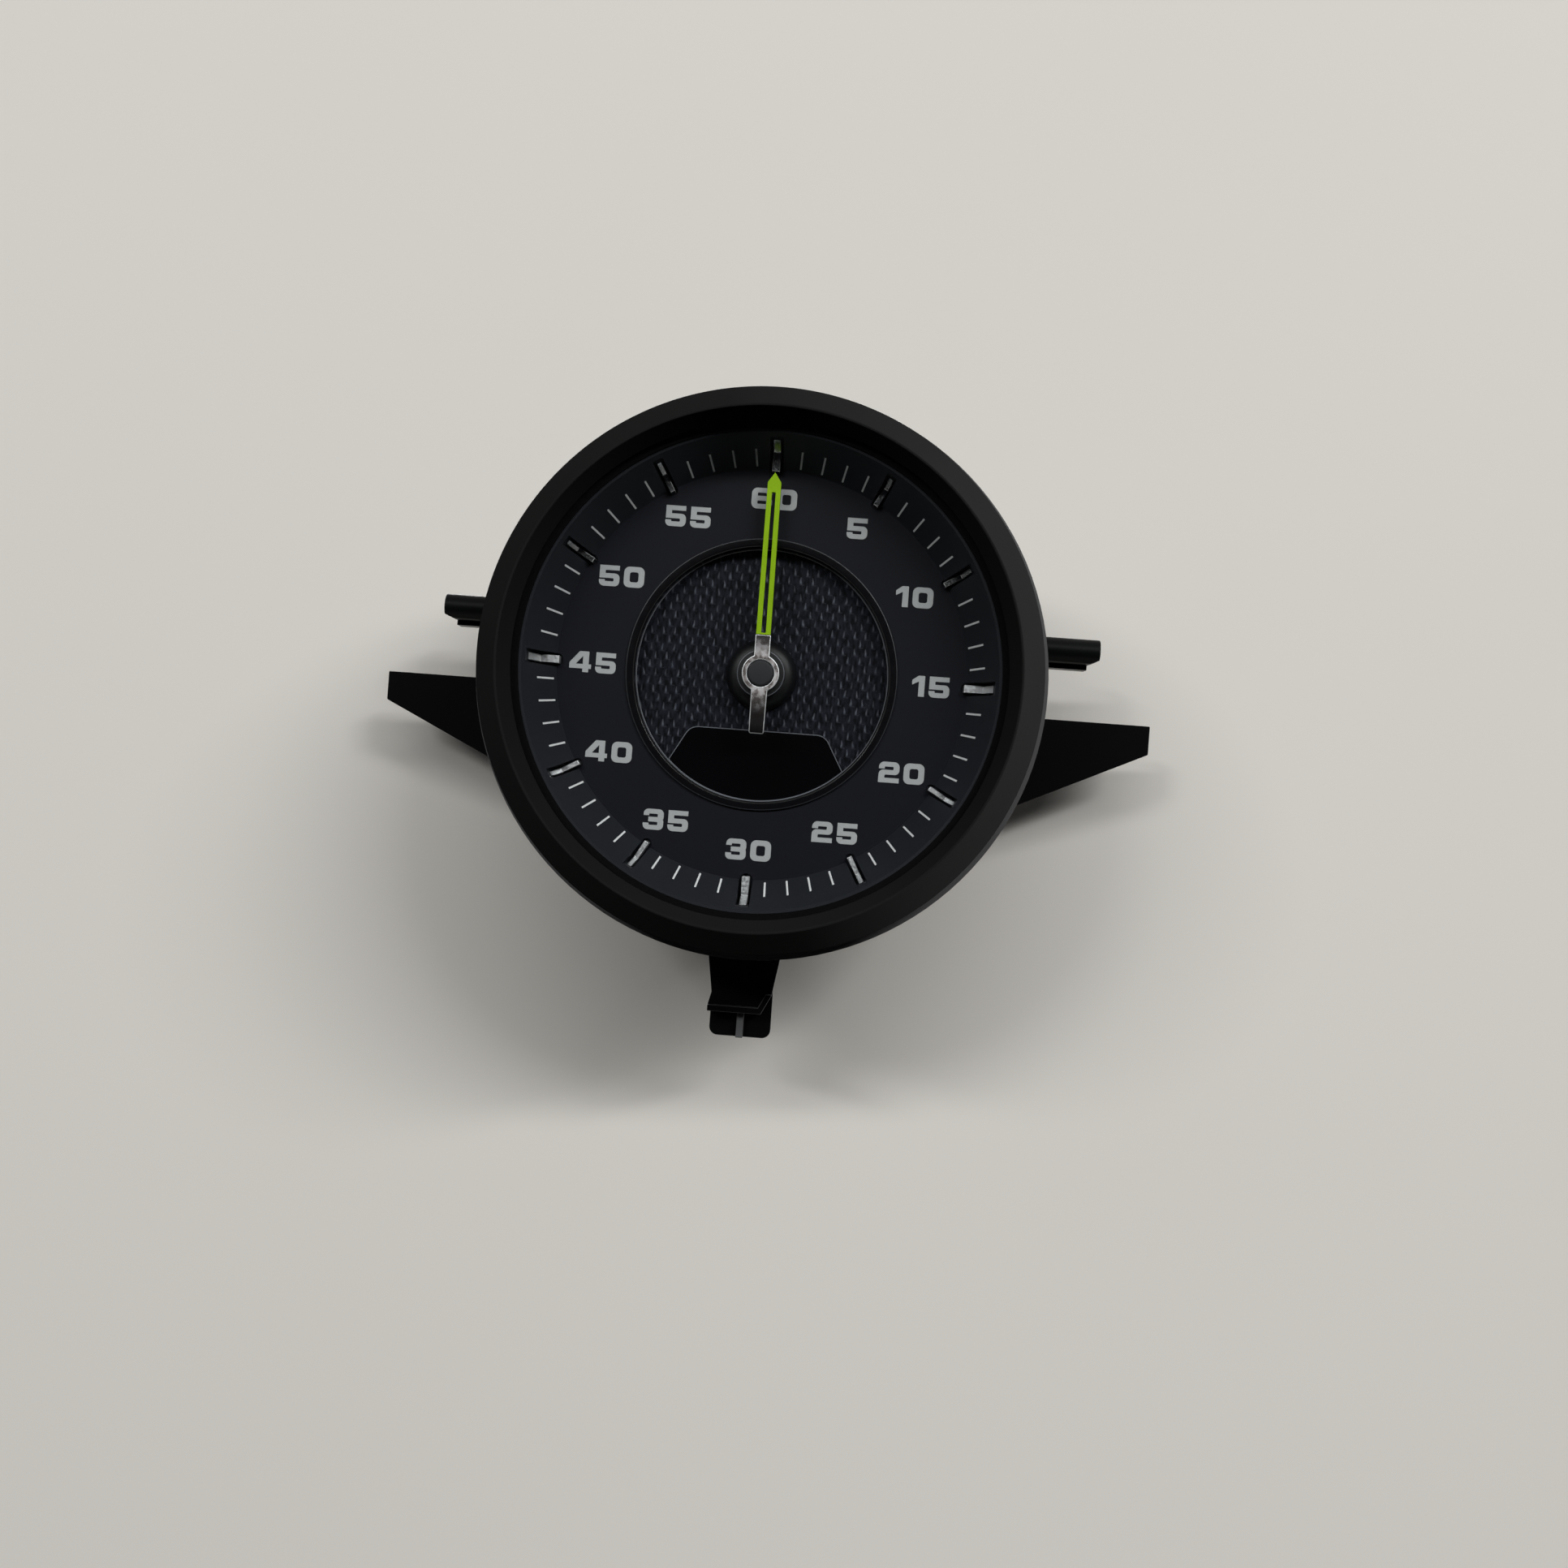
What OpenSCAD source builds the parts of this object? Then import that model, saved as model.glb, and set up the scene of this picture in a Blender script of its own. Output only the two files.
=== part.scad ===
// Dashboard stopwatch gauge: a round clip-in car instrument with one pointer on a
// 0 to 60 scale, a display window, and a geared stepper movement behind the dial.
// Every piece is drawn in the dial frame: x to the right, y up, z towards the viewer,
// with z = 0 on the flat rear face. upright() then stands it with the dial facing -Y.

/* [Bezel and lens] */
// Overall depth, from the rear face to the crest of the bezel
depth = 52; // [48:0.5:60]
// Clear opening of the bezel at the lens
window_d = 68; // [62:0.5:80]
// Height of the bezel above the housing flange
bezel_h = 10; // [9:0.1:12]
// Depth of the lens face behind the crest
lens_recess = 3.4; // [2.5:0.1:4]
// Outward lean of the bezel's inner wall, from the lens up to the crest
lip_rake = 1.4; // [0.8:0.1:1.8]
// Width of the flat land on the crest
crest_land = 0.3; // [0.1:0.1:0.6]
// Lean of the bezel's outer slope from the dial plane
lip_slope = 52; // [40:1:60]
// Radius between the bezel's outer slope and its wall
lip_edge_r = 1.2; // [0.5:0.1:2]
// Wall of the bezel beside the lens
bezel_wall = 3.4; // [2.8:0.1:4]
// Width of the housing flange that shows outside the bezel
flange_ledge = 1.2; // [0.8:0.1:3]
// Thickness of the housing flange
flange_t = 1.6; // [1.2:0.1:2.5]
// Thickness of the lens
lens_t = 1.5; // [1:0.1:2]
// Width of the lens border under the bezel
lens_lap = 1.5; // [1:0.1:2.5]
// Thickness of the lens gasket
gasket_t = 0.4; // [0.2:0.1:0.8]
// Width of the chapter ring's bare land inside the gasket
gasket_inset = 0.4; // [0.2:0.1:0.8]

/* [Dial] */
// Radial gap between the bezel opening and the top of the chapter ring
chapter_gap = 1.1; // [0.5:0.1:2]
// Radial width of the chapter ring's slope
chapter_w = 3.8; // [3:0.1:5]
// Depth of the dial face behind the flange face
dial_drop = 2; // [1.5:0.1:3]
// Thickness of the dial plate
dial_t = 1.2; // [1:0.1:2]
// Diameter of the recessed centre of the dial
centre_d = 36; // [32:0.5:40]
// Depth of the centre disc's face behind the dial face
centre_drop = 2; // [1.5:0.1:3]
// Thickness of the centre disc
disc_t = 1; // [0.6:0.1:1.4]
// Wall of the trim ring's sleeve
trim_wall = 0.95; // [0.6:0.05:1.5]
// Overhang of the trim ring's bead on the dial plate
trim_lap = 0.3; // [0.2:0.05:0.8]
// Height of the trim ring's bead
trim_bead = 0.5; // [0.3:0.1:0.8]
// Number of raised indices
index_count = 12; // [4:1:12]
// Width of an index
index_w = 0.7; // [0.5:0.05:1]
// Width of an index at a quarter
quarter_w = 1.1; // [0.8:0.1:1.6]
// Height of an index's flat inner part above the dial
index_h = 1.3; // [0.6:0.1:1.5]
// Height of an index's outer end above the dial
index_rise = 4.2; // [2:0.1:5]
// Length of an index's flat inner part
index_flat = 2.65; // [2:0.05:3.2]
// Reach of an index inwards past the chapter ring
index_reach = 0.5; // [0.4:0.05:1]
// Distance of an index's outer end from the top of the chapter ring
index_inset = 0.5; // [0.5:0.05:1]
// Clear gap round an index in its slot
slot_gap = 0.4; // [0.2:0.05:0.6]
// Depth of the index slots in the dial plate
slot_t = 0.5; // [0.3:0.1:0.7]
// Diameter of the hub boss
boss_d = 10.1; // [8:0.1:13]
// Height of the hub boss above the centre disc
boss_h = 2.5; // [2:0.1:3]
// Diameter of the hub boss's flat crown
boss_crown = 6.3; // [5:0.1:7.5]
// Height of the hub boss's straight side
boss_side = 0.75; // [0.3:0.05:1.2]

/* [Display] */
// Distance of the display window's top edge below the dial axis
display_top = 7.8; // [7:0.1:9]
// Width of the display window's top edge, between the square corners
display_w = 19.4; // [14:0.1:22]
// Outward lean of the window's sides, per millimetre down
display_flare = 0.56; // [0.3:0.02:0.7]
// Radius of the window's top corners
display_corner = 2.1; // [1:0.1:3]
// Overhang of the display module past the window's top corners
module_lap = 2.3; // [1:0.1:3]
// Width of the display's ribbon cable
ribbon_w = 14; // [8:0.5:16]
// Thickness of the ribbon cable
ribbon_t = 0.3; // [0.2:0.05:0.5]
// Distance of the ribbon cable from the module's top edge
ribbon_inset = 1.6; // [1:0.1:2]

/* [Pointer] */
// Length of the pointer, from the axis to the tip
hand_l = 28.1; // [26:0.1:28.4]
// Distance from the axis to the root of the coloured blade
hand_root = 5.4; // [4.5:0.1:7]
// Width of the blade at its root
hand_w = 2.04; // [1.5:0.02:2.6]
// Width of the blade where the tip begins
hand_tip_w = 1.9; // [1.4:0.02:2.4]
// Length of the blade's point
hand_tip_l = 1.4; // [0.8:0.1:3]
// Solid length at each end of the blade's slot
slot_margin = 0.25; // [0.2:0.05:1]
// Solid length between the slot and the point
slot_tip_margin = 1.4; // [0.8:0.1:4]
// Width of the slot at the blade's root
slot_w = 0.64; // [0.4:0.02:0.8]
// Width of the slot at its tip end
slot_tip_w = 0.5; // [0.3:0.02:0.6]
// Thickness of the plated pointer carrier
arm_t = 0.8; // [0.6:0.1:1.2]
// Height of the blade above the carrier
blade_proud = 0.1; // [0:0.05:0.3]
// Width of the carrier's neck
neck_w = 2.2; // [2:0.1:3]
// Width of the blade's tongue under the neck
tongue_w = 1.2; // [0.8:0.1:1.5]
// Thickness of the blade's tongue
tongue_t = 0.4; // [0.3:0.05:0.5]
// Length of the tail, from the axis
tail_l = 8.5; // [6:0.1:12]
// Width of the tail at the hub
tail_w = 2.38; // [2:0.02:3]
// Width of the tail at its end
tail_end_w = 2.14; // [1.6:0.02:2.6]
// Length of the bevel at the tail's end
tail_bevel = 0.2; // [0.1:0.05:0.6]
// Length of the sloping face at the tail's end
tail_slope_l = 1.4; // [0.8:0.1:2]
// Fall of the sloping face
tail_slope_h = 0.35; // [0.2:0.05:0.5]
// Outer diameter of the carrier's ring
ring_d = 5.28; // [4.8:0.02:6]
// Diameter of the cap inside the ring
cap_d = 3.76; // [3:0.02:4.2]
// Height of the cap above the ring
cap_proud = 0.35; // [0.2:0.05:0.8]
// Width of the cap's rounded edge
cap_round = 0.35; // [0.2:0.05:0.8]
// Diameter of the black hub under the ring
hub_d = 6.7; // [6.2:0.1:8]
// Thickness of the hub
hub_t = 1.3; // [1:0.1:2]
// Running gap between the hub boss and the hub
hub_gap = 0.4; // [0.3:0.05:0.8]
// Diameter of the pointer spindle
spindle_d = 1.5; // [1.2:0.05:2]

/* [Housing] */
// Wall of the housing
tube_wall = 1.8; // [1.5:0.1:2.5]
// Distance from the rear face to the housing's shoulder
shoulder_z = 14; // [13:0.1:18]
// Width of the shoulder, where the housing narrows to its rear can
shoulder_w = 4.6; // [4.5:0.1:6]
// Thickness of the shoulder
shoulder_t = 2; // [1.5:0.1:3]
// Thickness of the rear wall
floor_t = 2.4; // [1.8:0.1:3]
// Bevel round the rear face
rear_bevel = 1; // [0.4:0.1:1.5]
// Number of screws that hold the bezel
bezel_screw_count = 6; // [3:1:8]
// Shank diameter of the bezel screws
bezel_screw_d = 1.6; // [1.2:0.1:1.8]
// Head diameter of the bezel screws
bezel_screw_head = 3; // [2.4:0.1:3.2]
// Length of the bezel screws in the bezel
bezel_screw_grip = 4; // [3:0.1:5]

/* [Wings, lugs and latch] */
// Span over the tips of the two wings
wing_span = 121; // [100:0.5:140]
// Distance of the wings' top edge below the dial axis
wing_top = 1.9; // [0:0.1:6]
// Height of a wing at its tip
wing_tip_h = 4.5; // [3:0.1:8]
// Fall of a wing's lower edge towards the housing, per millimetre
wing_fall = 0.474; // [0.2:0.01:0.6]
// Thickness of the bracket and its wings
wing_t = 3; // [2:0.1:4]
// Width of the bracket's rim outside the housing
bracket_rim = 1.4; // [0.6:0.1:3]
// Number of screws that hold the bracket
bracket_screw_count = 4; // [3:1:6]
// Shank diameter of the bracket screws
bracket_screw_d = 1.8; // [1.4:0.1:2]
// Head diameter of the bracket screws
bracket_screw_head = 3.4; // [3:0.1:3.6]
// Span over the ends of the two guide lugs
lug_span = 101.8; // [90:0.2:110]
// Height of a lug's underside above the dial axis
lug_y = 6.7; // [5:0.05:9]
// Height of a lug's bar
lug_h = 3.9; // [3:0.1:5]
// Depth of a lug in front of the shoulder
lug_depth = 6; // [4:0.1:10]
// Length of the bevel at a lug's lower corner
lug_bevel = 1.5; // [1:0.1:2.5]
// Height of the bevel at a lug's lower corner
lug_bevel_h = 0.65; // [0.4:0.05:1]
// Height of the ledge under a lug
ledge_h = 0.75; // [0.4:0.05:1.5]
// Depth of the ledge in front of the shoulder
ledge_depth = 3; // [2:0.1:3.8]
// Distance of the latch's front face from the rear face
latch_z = 27; // [25:0.1:32]
// Distance of the latch's end below the dial axis
latch_reach = 53.9; // [50:0.1:60]
// Width of the latch at its bead and its rim
latch_w = 10; // [8:0.1:14]
// Amount by which each side of the latch widens at its root
latch_flare = 0.9; // [0:0.05:1]
// Amount by which each side of the latch narrows at its waist
latch_waist = 0.45; // [0.3:0.05:1.2]
// Height of the waist above the latch's rim
waist_rise = 2.8; // [2:0.1:4]
// Thickness of the latch's front plate
latch_t = 2.4; // [1.8:0.1:2.8]
// Length of the finger tab below the latch's rim
tab_l = 4; // [2.5:0.1:6]
// Corner radius of the finger tab
tab_corner = 1.3; // [0.5:0.1:1.5]
// Inset of the finger tab from each side of the latch
tab_inset = 0.35; // [0.3:0.05:1.5]
// Width of the rib on the finger tab
rib_w = 1.05; // [0.8:0.05:2]
// Width of the raised rim at the latch's lower edge
rim_w = 0.9; // [0.6:0.1:1.4]
// Height of the raised rim
rim_h = 0.6; // [0.3:0.1:1]
// Diameter of the latch's pivot bead
bead_d = 2.6; // [2.2:0.1:3]
// Thickness of the latch's neck beside the bead
latch_neck = 1.4; // [1:0.05:1.5]

/* [Circuit board and connector] */
// Distance of the board's underside from the rear face
board_z = 12; // [11:0.1:13]
// Thickness of the board
board_t = 1.6; // [1:0.1:2]
// Number of screws and posts that hold the board
board_screw_count = 4; // [2:1:4]
// Distance of the board screws from the board's edge
board_screw_inset = 3.9; // [3.4:0.1:4.5]
// Diameter of the screw posts
post_d = 5.2; // [4.6:0.1:6]
// Shank diameter of the board screws
board_screw_d = 2; // [1.6:0.1:2.4]
// Length of the board screws in their posts
board_screw_grip = 6; // [4:0.1:8]
// Head diameter of the board screws
board_screw_head = 4.2; // [3.6:0.1:4.6]
// Number of backlight lamps
led_count = 8; // [4:1:8]
// Length of a lamp
led_l = 3.2; // [2:0.1:3.4]
// Width of a lamp
led_w = 2.8; // [1.6:0.1:3]
// Height of a lamp
led_h = 1.9; // [1:0.1:2.5]
// Distance of the lamps from the board's edge
led_inset = 2.6; // [2.4:0.1:3]
// Side of the controller chip
chip_w = 9; // [6:0.1:9.5]
// Width of the regulator chip
regulator_w = 5.4; // [4:0.1:8]
// Length of the regulator chip
regulator_l = 7.2; // [4:0.1:9]
// Height of the chips
chip_h = 1.4; // [1:0.1:2]
// Width of the connector shroud
plug_w = 18; // [16:0.1:22]
// Height of the connector shroud
plug_h = 8.6; // [8:0.1:10]
// Wall of the connector shroud
plug_wall = 1.2; // [0.8:0.1:1.4]
// Thickness of the connector's web, which holds the pins
plug_web = 3; // [2:0.1:3.5]
// Distance of the connector's centre below the dial axis
plug_drop = 14; // [12:0.1:15]
// Depth of the connector's mouth in the rear face
plug_inset = 1; // [0.5:0.1:2]
// Number of pins in each of the two rows
pin_count = 4; // [2:1:5]
// Distance between pins
pin_pitch = 2.54; // [2:0.02:2.54]
// Diameter of a pin
pin_d = 0.64; // [0.5:0.02:0.8]
// Length of the pins inside the shroud
pin_reach = 2.5; // [1.5:0.1:3.5]

/* [Movement] */
// Width of the movement's case
motor_w = 26; // [25:0.1:28]
// Height of the movement's case
motor_h = 9.8; // [9.6:0.1:12]
// Wall of the movement's case
motor_wall = 1; // [0.8:0.1:1.2]
// Module of the gear teeth
gear_module = 0.25; // [0.24:0.01:0.26]
// Teeth on the two wheels
wheel_teeth = 48; // [44:1:48]
// Teeth on the two pinions
pinion_teeth = 12; // [10:1:13]
// Thickness of the wheels
wheel_t = 1.2; // [0.8:0.1:1.4]
// Diameter of the rotor's magnet
magnet_d = 6; // [5:0.1:6.6]
// Thickness of the rotor's magnet
magnet_t = 2.8; // [2:0.1:3]
// Diameter of the arbors
arbor_d = 1; // [0.8:0.05:1.2]
// Air gap between the magnet and the stator
air_gap = 0.4; // [0.3:0.05:0.6]
// Thickness of the stator core
core_t = 1.2; // [0.8:0.1:1.4]
// Diameter of the coils
coil_d = 4.4; // [4:0.1:4.6]
// Length of the coils
coil_l = 13; // [8:0.1:14]
// Outer diameter of the spindle's bearing
bearing_d = 4.4; // [3.6:0.1:6]
// Length of the spindle's bearing above the case
bearing_l = 2.2; // [1:0.1:4]

/* [Light box and fits] */
// Thickness of the light guide under the centre disc
guide_t = 1.6; // [1.2:0.1:2.2]
// Thickness of the inner frame's deck
deck_t = 1.5; // [1.2:0.1:2.2]
// Wall of the inner frame
frame_wall = 1.5; // [1.2:0.1:2]
// Diameter of the lamp openings in the deck
lamp_hole_d = 4; // [3:0.1:4.4]
// Clear gap round the spindle where it passes through a piece
spindle_gap = 0.85; // [0.5:0.05:1.2]
// Clear gap between pieces that drop into each other
fit_gap = 0.2; // [0.1:0.05:0.4]
// Running clearance round a shaft or pivot
run_gap = 0.05; // [0.03:0.01:0.08]
// Clearance of a screw in its hole
screw_gap = 0.25; // [0.15:0.05:0.35]

/* [Hidden] */
$fn = 96;
past = 1;
arc_steps = 8;
quarter_count = 4;

// Radii from the lens opening outwards
window_r = window_d / 2;
lens_r = window_r + lens_lap;
bezel_in_r = lens_r + fit_gap;
bezel_r = bezel_in_r + bezel_wall;
flange_r = bezel_r + flange_ledge;
crest_r = window_r + lip_rake;
bezel_screw_r = (bezel_in_r + bezel_r) / 2;
screw_head_h = 1.2;
head_taper = 0.3;

// Radii from the lens opening inwards
chapter_r = window_r - chapter_gap;
chapter_in_r = chapter_r - chapter_w;
dial_edge = 0.3;
dial_r = chapter_r - dial_edge;
centre_r = centre_d / 2;
trim_r = centre_r + trim_wall;
disc_r = centre_r - run_gap;
spigot_r = boss_d / 4;

// Radii of the housing and what it holds
tube_in_r = dial_r + fit_gap;
tube_r = tube_in_r + tube_wall;
tube_mid_r = tube_r - tube_wall / 2;
rear_r = tube_r - shoulder_w;
rear_in_r = rear_r - tube_wall;
bracket_r = tube_r + bracket_rim;
bracket_screw_r = (rear_r + tube_r) / 2;
board_r = rear_in_r - fit_gap;
post_r = board_r - board_screw_inset;
led_r = board_r - led_inset;
chip_gap = 0.5;

// Levels from the crest backwards
flange_z = depth - bezel_h;
lens_top = depth - lens_recess;
lens_z = lens_top - lens_t;
chapter_top = lens_z - gasket_t;
dial_z = flange_z - dial_drop;
dial_back = dial_z - dial_t;
disc_z = dial_z - centre_drop;
disc_back = disc_z - disc_t;
guide_z = disc_back - guide_t;
deck_z = guide_z - deck_t;

// Levels from the rear face forwards
shoulder_top = shoulder_z + shoulder_t;
bracket_z = shoulder_z - wing_t;
board_top = board_z + board_t;
web_z = board_z - plug_web;
pin_tip = web_z - pin_reach;

// Levels of the pointer
boss_top = disc_z + boss_h;
hub_z = boss_top + hub_gap;
hub_top = hub_z + hub_t;
arm_top = hub_top + arm_t;
cap_top = arm_top + cap_proud;
spindle_r = spindle_d / 2;
pass_r = spindle_r + spindle_gap;

// Gear teeth: half widths as parts of a tooth pitch, heights in modules
tooth_tip = 0.9;
tooth_root = 1.15;
tooth_tip_half = 0.12;
tooth_root_half = 0.27;

// Places in the movement, whose three axes stand one above the other
case_gap = 0.75;
gear_gap = gear_module * (wheel_teeth + pinion_teeth) / 2;
wheel_tip_r = gear_module * (wheel_teeth / 2 + tooth_tip);
rotor_y = 2 * gear_gap;
bore_r = magnet_d / 2 + air_gap;
yoke_wall = 0.6;
yoke_half = bore_r + yoke_wall;
motor_low = wheel_tip_r + case_gap + motor_wall;
motor_high = rotor_y + yoke_half + case_gap + motor_wall;
motor_floor = board_top + motor_wall;
motor_roof = board_top + motor_h - motor_wall;
motor_top = board_top + motor_h;
motor_split = (board_top + motor_top) / 2;
magnet_gap = 1;
magnet_z = motor_floor + magnet_gap;
transfer_gap = 0.8;
transfer_z = magnet_z + magnet_t + transfer_gap;
output_z = transfer_z - transfer_gap - wheel_t;
pivot_floor = 0.4;
pivot_depth = motor_wall - pivot_floor;
core_z = magnet_z + (magnet_t - core_t) / 2;
core_post_r = 1;
coil_gap = 0.5;
coil_x = motor_w / 2 - motor_wall - coil_gap - coil_d / 2;
leg_end = case_gap - motor_low + motor_wall;
coil_start = leg_end + yoke_wall;
arbor_r = arbor_d / 2;

// Places of the display
module_margin = 1;
display_low = centre_r - module_margin;
display_lean = atan(display_flare);
module_w = display_w + 2 * module_lap;
module_top = display_top + fit_gap;
ribbon_y = module_top + ribbon_inset;

// Places of the latch
pivot_y = tube_r + bead_d / 2 + fit_gap;
pivot_z = latch_z - latch_t / 2;
saddle_edge = pivot_y + bead_d / 2;
swing_gap = 0.35;
latch_top = saddle_edge + 2 * swing_gap;
latch_rim = latch_reach - tab_l;
latch_half = latch_w / 2;
rim_cut = 3;
cheek = 1.4;

// Stands a piece upright: the dial faces -Y and its 60 mark points up
module upright() {
    rotate([90, 0, 0]) children();
}

// Points along part of an ellipse, both ends included
function arc(centre, rx, ry, from, to) = [
    for (i = [0:arc_steps])
        let (a = from + (to - from) * i / arc_steps)
        [centre[0] + rx * cos(a), centre[1] + ry * sin(a)]
];

// Copies the children evenly round the dial axis
module ring_of(count, radius, start = 0) {
    for (i = [0:count - 1])
        rotate([0, 0, start + 360 * i / count])
            translate([radius, 0, 0]) children();
}

// A piece and its mirror image across the dial's vertical
module both_sides() {
    children();
    mirror([1, 0, 0]) children();
}

// A flat ring or, with no inner radius, a disc
module washer(outer, inner, low, high) {
    translate([0, 0, low]) linear_extrude(high - low) difference() {
        circle(outer);
        circle(inner);
    }
}

// A pan-head screw along z, head at the bottom and shank upwards from z = 0
module screw(shank_d, head_d, length) {
    cylinder(d = shank_d, h = length);
    translate([0, 0, -screw_head_h]) difference() {
        cylinder(d1 = head_d - 2 * head_taper, d2 = head_d, h = screw_head_h);
        translate([0, 0, -past]) linear_extrude(past + screw_head_h / 2)
            cross(shank_d, shank_d / 4);
    }
}

// A countersunk screw along z, head flush with z = 0 and shank upwards
module flat_screw(shank_d, head_d, length) {
    head_h = (head_d - shank_d) / 2;
    difference() {
        union() {
            cylinder(d = shank_d, h = length);
            cylinder(d1 = head_d, d2 = shank_d, h = head_h);
        }
        translate([0, 0, -past]) linear_extrude(past + head_h / 2)
            cross(shank_d, shank_d / 4);
    }
}

// The hole for a countersunk screw, from z = 0 upwards
module flat_screw_hole(shank_d, head_d, length) {
    hole_d = shank_d + 2 * screw_gap;
    sink_d = head_d + 2 * run_gap;
    translate([0, 0, -past]) cylinder(d = hole_d, h = length + 2 * past);
    cylinder(d1 = sink_d, d2 = hole_d, h = (sink_d - hole_d) / 2);
    translate([0, 0, -past]) cylinder(d = sink_d, h = past);
}

// Outline of a cross recess
module cross(length, width) {
    square([length, width], center = true);
    square([width, length], center = true);
}

// Outline of a gear with straight-sided teeth, one tooth pointing along x
function gear_outline(teeth) = [
    for (i = [0:teeth - 1])
        for (corner = [
            [-tooth_root_half, -tooth_root], [-tooth_tip_half, tooth_tip],
            [tooth_tip_half, tooth_tip], [tooth_root_half, -tooth_root]
        ])
            let (a = 360 * (i + corner[0]) / teeth)
            let (r = gear_module * (teeth / 2 + corner[1]))
            [r * cos(a), r * sin(a)]
];

// A gear that stands on level z, turned by an angle
module gear(teeth, turn, z, height) {
    translate([0, 0, z]) rotate([0, 0, turn])
        linear_extrude(height) polygon(gear_outline(teeth));
}

// Angle of a pinion that puts a gap between its teeth straight below its axis
function gap_below(teeth) = -90 + 180 / teeth;

// Outline of the display window, drawn in by a gap all round
function display_outline(gap) =
    let (half = display_w / 2 + display_flare * gap - gap / cos(display_lean))
    let (top = display_top + gap)
    let (tangent = display_corner * tan((90 - display_lean) / 2))
    let (right = arc([half - tangent, -top - display_corner],
                     display_corner, display_corner, 90, display_lean))
    let (low = centre_r + past)
    let (side = half + display_flare * (low - top))
    concat(right, [[side, -low], [-side, -low]],
           [for (i = [arc_steps:-1:0]) [-right[i][0], right[i][1]]]);

// Rear housing: a stepped can with a front flange, guide lugs and the latch saddle
module rear_housing() {
    shell = [
        [0, 0], [rear_r - rear_bevel, 0], [rear_r, rear_bevel], [rear_r, shoulder_z],
        [tube_r, shoulder_z], [tube_r, flange_z - flange_t], [flange_r, flange_z - flange_t],
        [flange_r, flange_z], [tube_in_r, flange_z], [tube_in_r, shoulder_top],
        [rear_in_r, shoulder_top], [rear_in_r, floor_t], [0, floor_t]
    ];
    color("#232425") upright() difference() {
        union() {
            rotate_extrude() polygon(shell);
            difference() {
                union() {
                    both_sides() guide_lug();
                    latch_saddle();
                }
                cylinder(r = tube_mid_r, h = depth);
            }
            ring_of(board_screw_count, post_r, 45)
                translate([0, 0, floor_t / 2]) cylinder(d = post_d, h = board_z - floor_t / 2);
        }
        ring_of(board_screw_count, post_r, 45)
            translate([0, 0, board_z - board_screw_grip])
                cylinder(d = board_screw_d, h = board_screw_grip + past);
        ring_of(bezel_screw_count, bezel_screw_r)
            translate([0, 0, flange_z - flange_t])
                flat_screw_hole(bezel_screw_d, bezel_screw_head, flange_t);
        ring_of(bracket_screw_count, bracket_screw_r, 45)
            translate([0, 0, shoulder_z - past])
                cylinder(d = bracket_screw_d, h = shoulder_t + 2 * past);
        translate([0, -plug_drop, floor_t / 2])
            cube([plug_w + 2 * fit_gap, plug_h + 2 * fit_gap, floor_t + 2 * past], center = true);
    }
}

// Guide lug on the right: a bar with a round front and a bevelled corner, on a ledge
module guide_lug() {
    end = lug_span / 2;
    root = tube_mid_r / 2;
    nose = lug_h / 2;
    difference() {
        union() {
            translate([root, lug_y, shoulder_z])
                cube([end - root, lug_h, lug_depth - nose]);
            translate([root, lug_y + nose, shoulder_z + lug_depth - nose])
                rotate([0, 90, 0]) cylinder(r = nose, h = end - root);
        }
        translate([0, 0, shoulder_z - past]) linear_extrude(lug_depth + 2 * past)
            polygon([
                [end - lug_bevel, lug_y], [end - lug_bevel, lug_y - past],
                [end + past, lug_y - past], [end + past, lug_y + lug_bevel_h],
                [end, lug_y + lug_bevel_h]
            ]);
    }
    translate([root, lug_y - ledge_h, shoulder_z])
        cube([end - lug_bevel - root, ledge_h, ledge_depth]);
}

// Saddle under the housing in which the latch's bead pivots
module latch_saddle() {
    half = latch_half + cheek;
    height = bead_d + 2 * cheek;
    mouth = latch_neck + 2 * swing_gap;
    difference() {
        translate([-half, -saddle_edge, pivot_z - height / 2])
            cube([2 * half, saddle_edge, height]);
        translate([0, -pivot_y, pivot_z]) rotate([0, 90, 0])
            cylinder(d = bead_d + 2 * run_gap, h = latch_w + 2 * fit_gap, center = true);
        translate([0, -pivot_y - past, pivot_z])
            cube([latch_w + 2 * fit_gap, 2 * past + bead_d, mouth], center = true);
        translate([0, -saddle_edge - past / 2, pivot_z])
            cube([latch_w + 2 * fit_gap, bead_d, mouth], center = true);
    }
}

// Mounting bracket: a flat ring behind the shoulder with a wing on each side
module mounting_bracket() {
    tip = wing_span / 2;
    tip_low = wing_top + wing_tip_h;
    color("#1d1e1f") upright() translate([0, 0, bracket_z]) difference() {
        union() {
            cylinder(r = bracket_r, h = wing_t);
            linear_extrude(wing_t) polygon([
                [-tip, -wing_top], [tip, -wing_top], [tip, -tip_low],
                [0, -tip_low - wing_fall * tip], [-tip, -tip_low]
            ]);
        }
        translate([0, 0, -past]) cylinder(r = rear_r + fit_gap, h = wing_t + 2 * past);
        ring_of(bracket_screw_count, bracket_screw_r, 45)
            flat_screw_hole(bracket_screw_d, bracket_screw_head, wing_t);
    }
}

// Screws that hold the bracket to the shoulder
module bracket_screws() {
    color("#8d8f91") upright() ring_of(bracket_screw_count, bracket_screw_r, 45)
        translate([0, 0, bracket_z])
            flat_screw(bracket_screw_d, bracket_screw_head, wing_t + shoulder_t - fit_gap);
}

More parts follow.
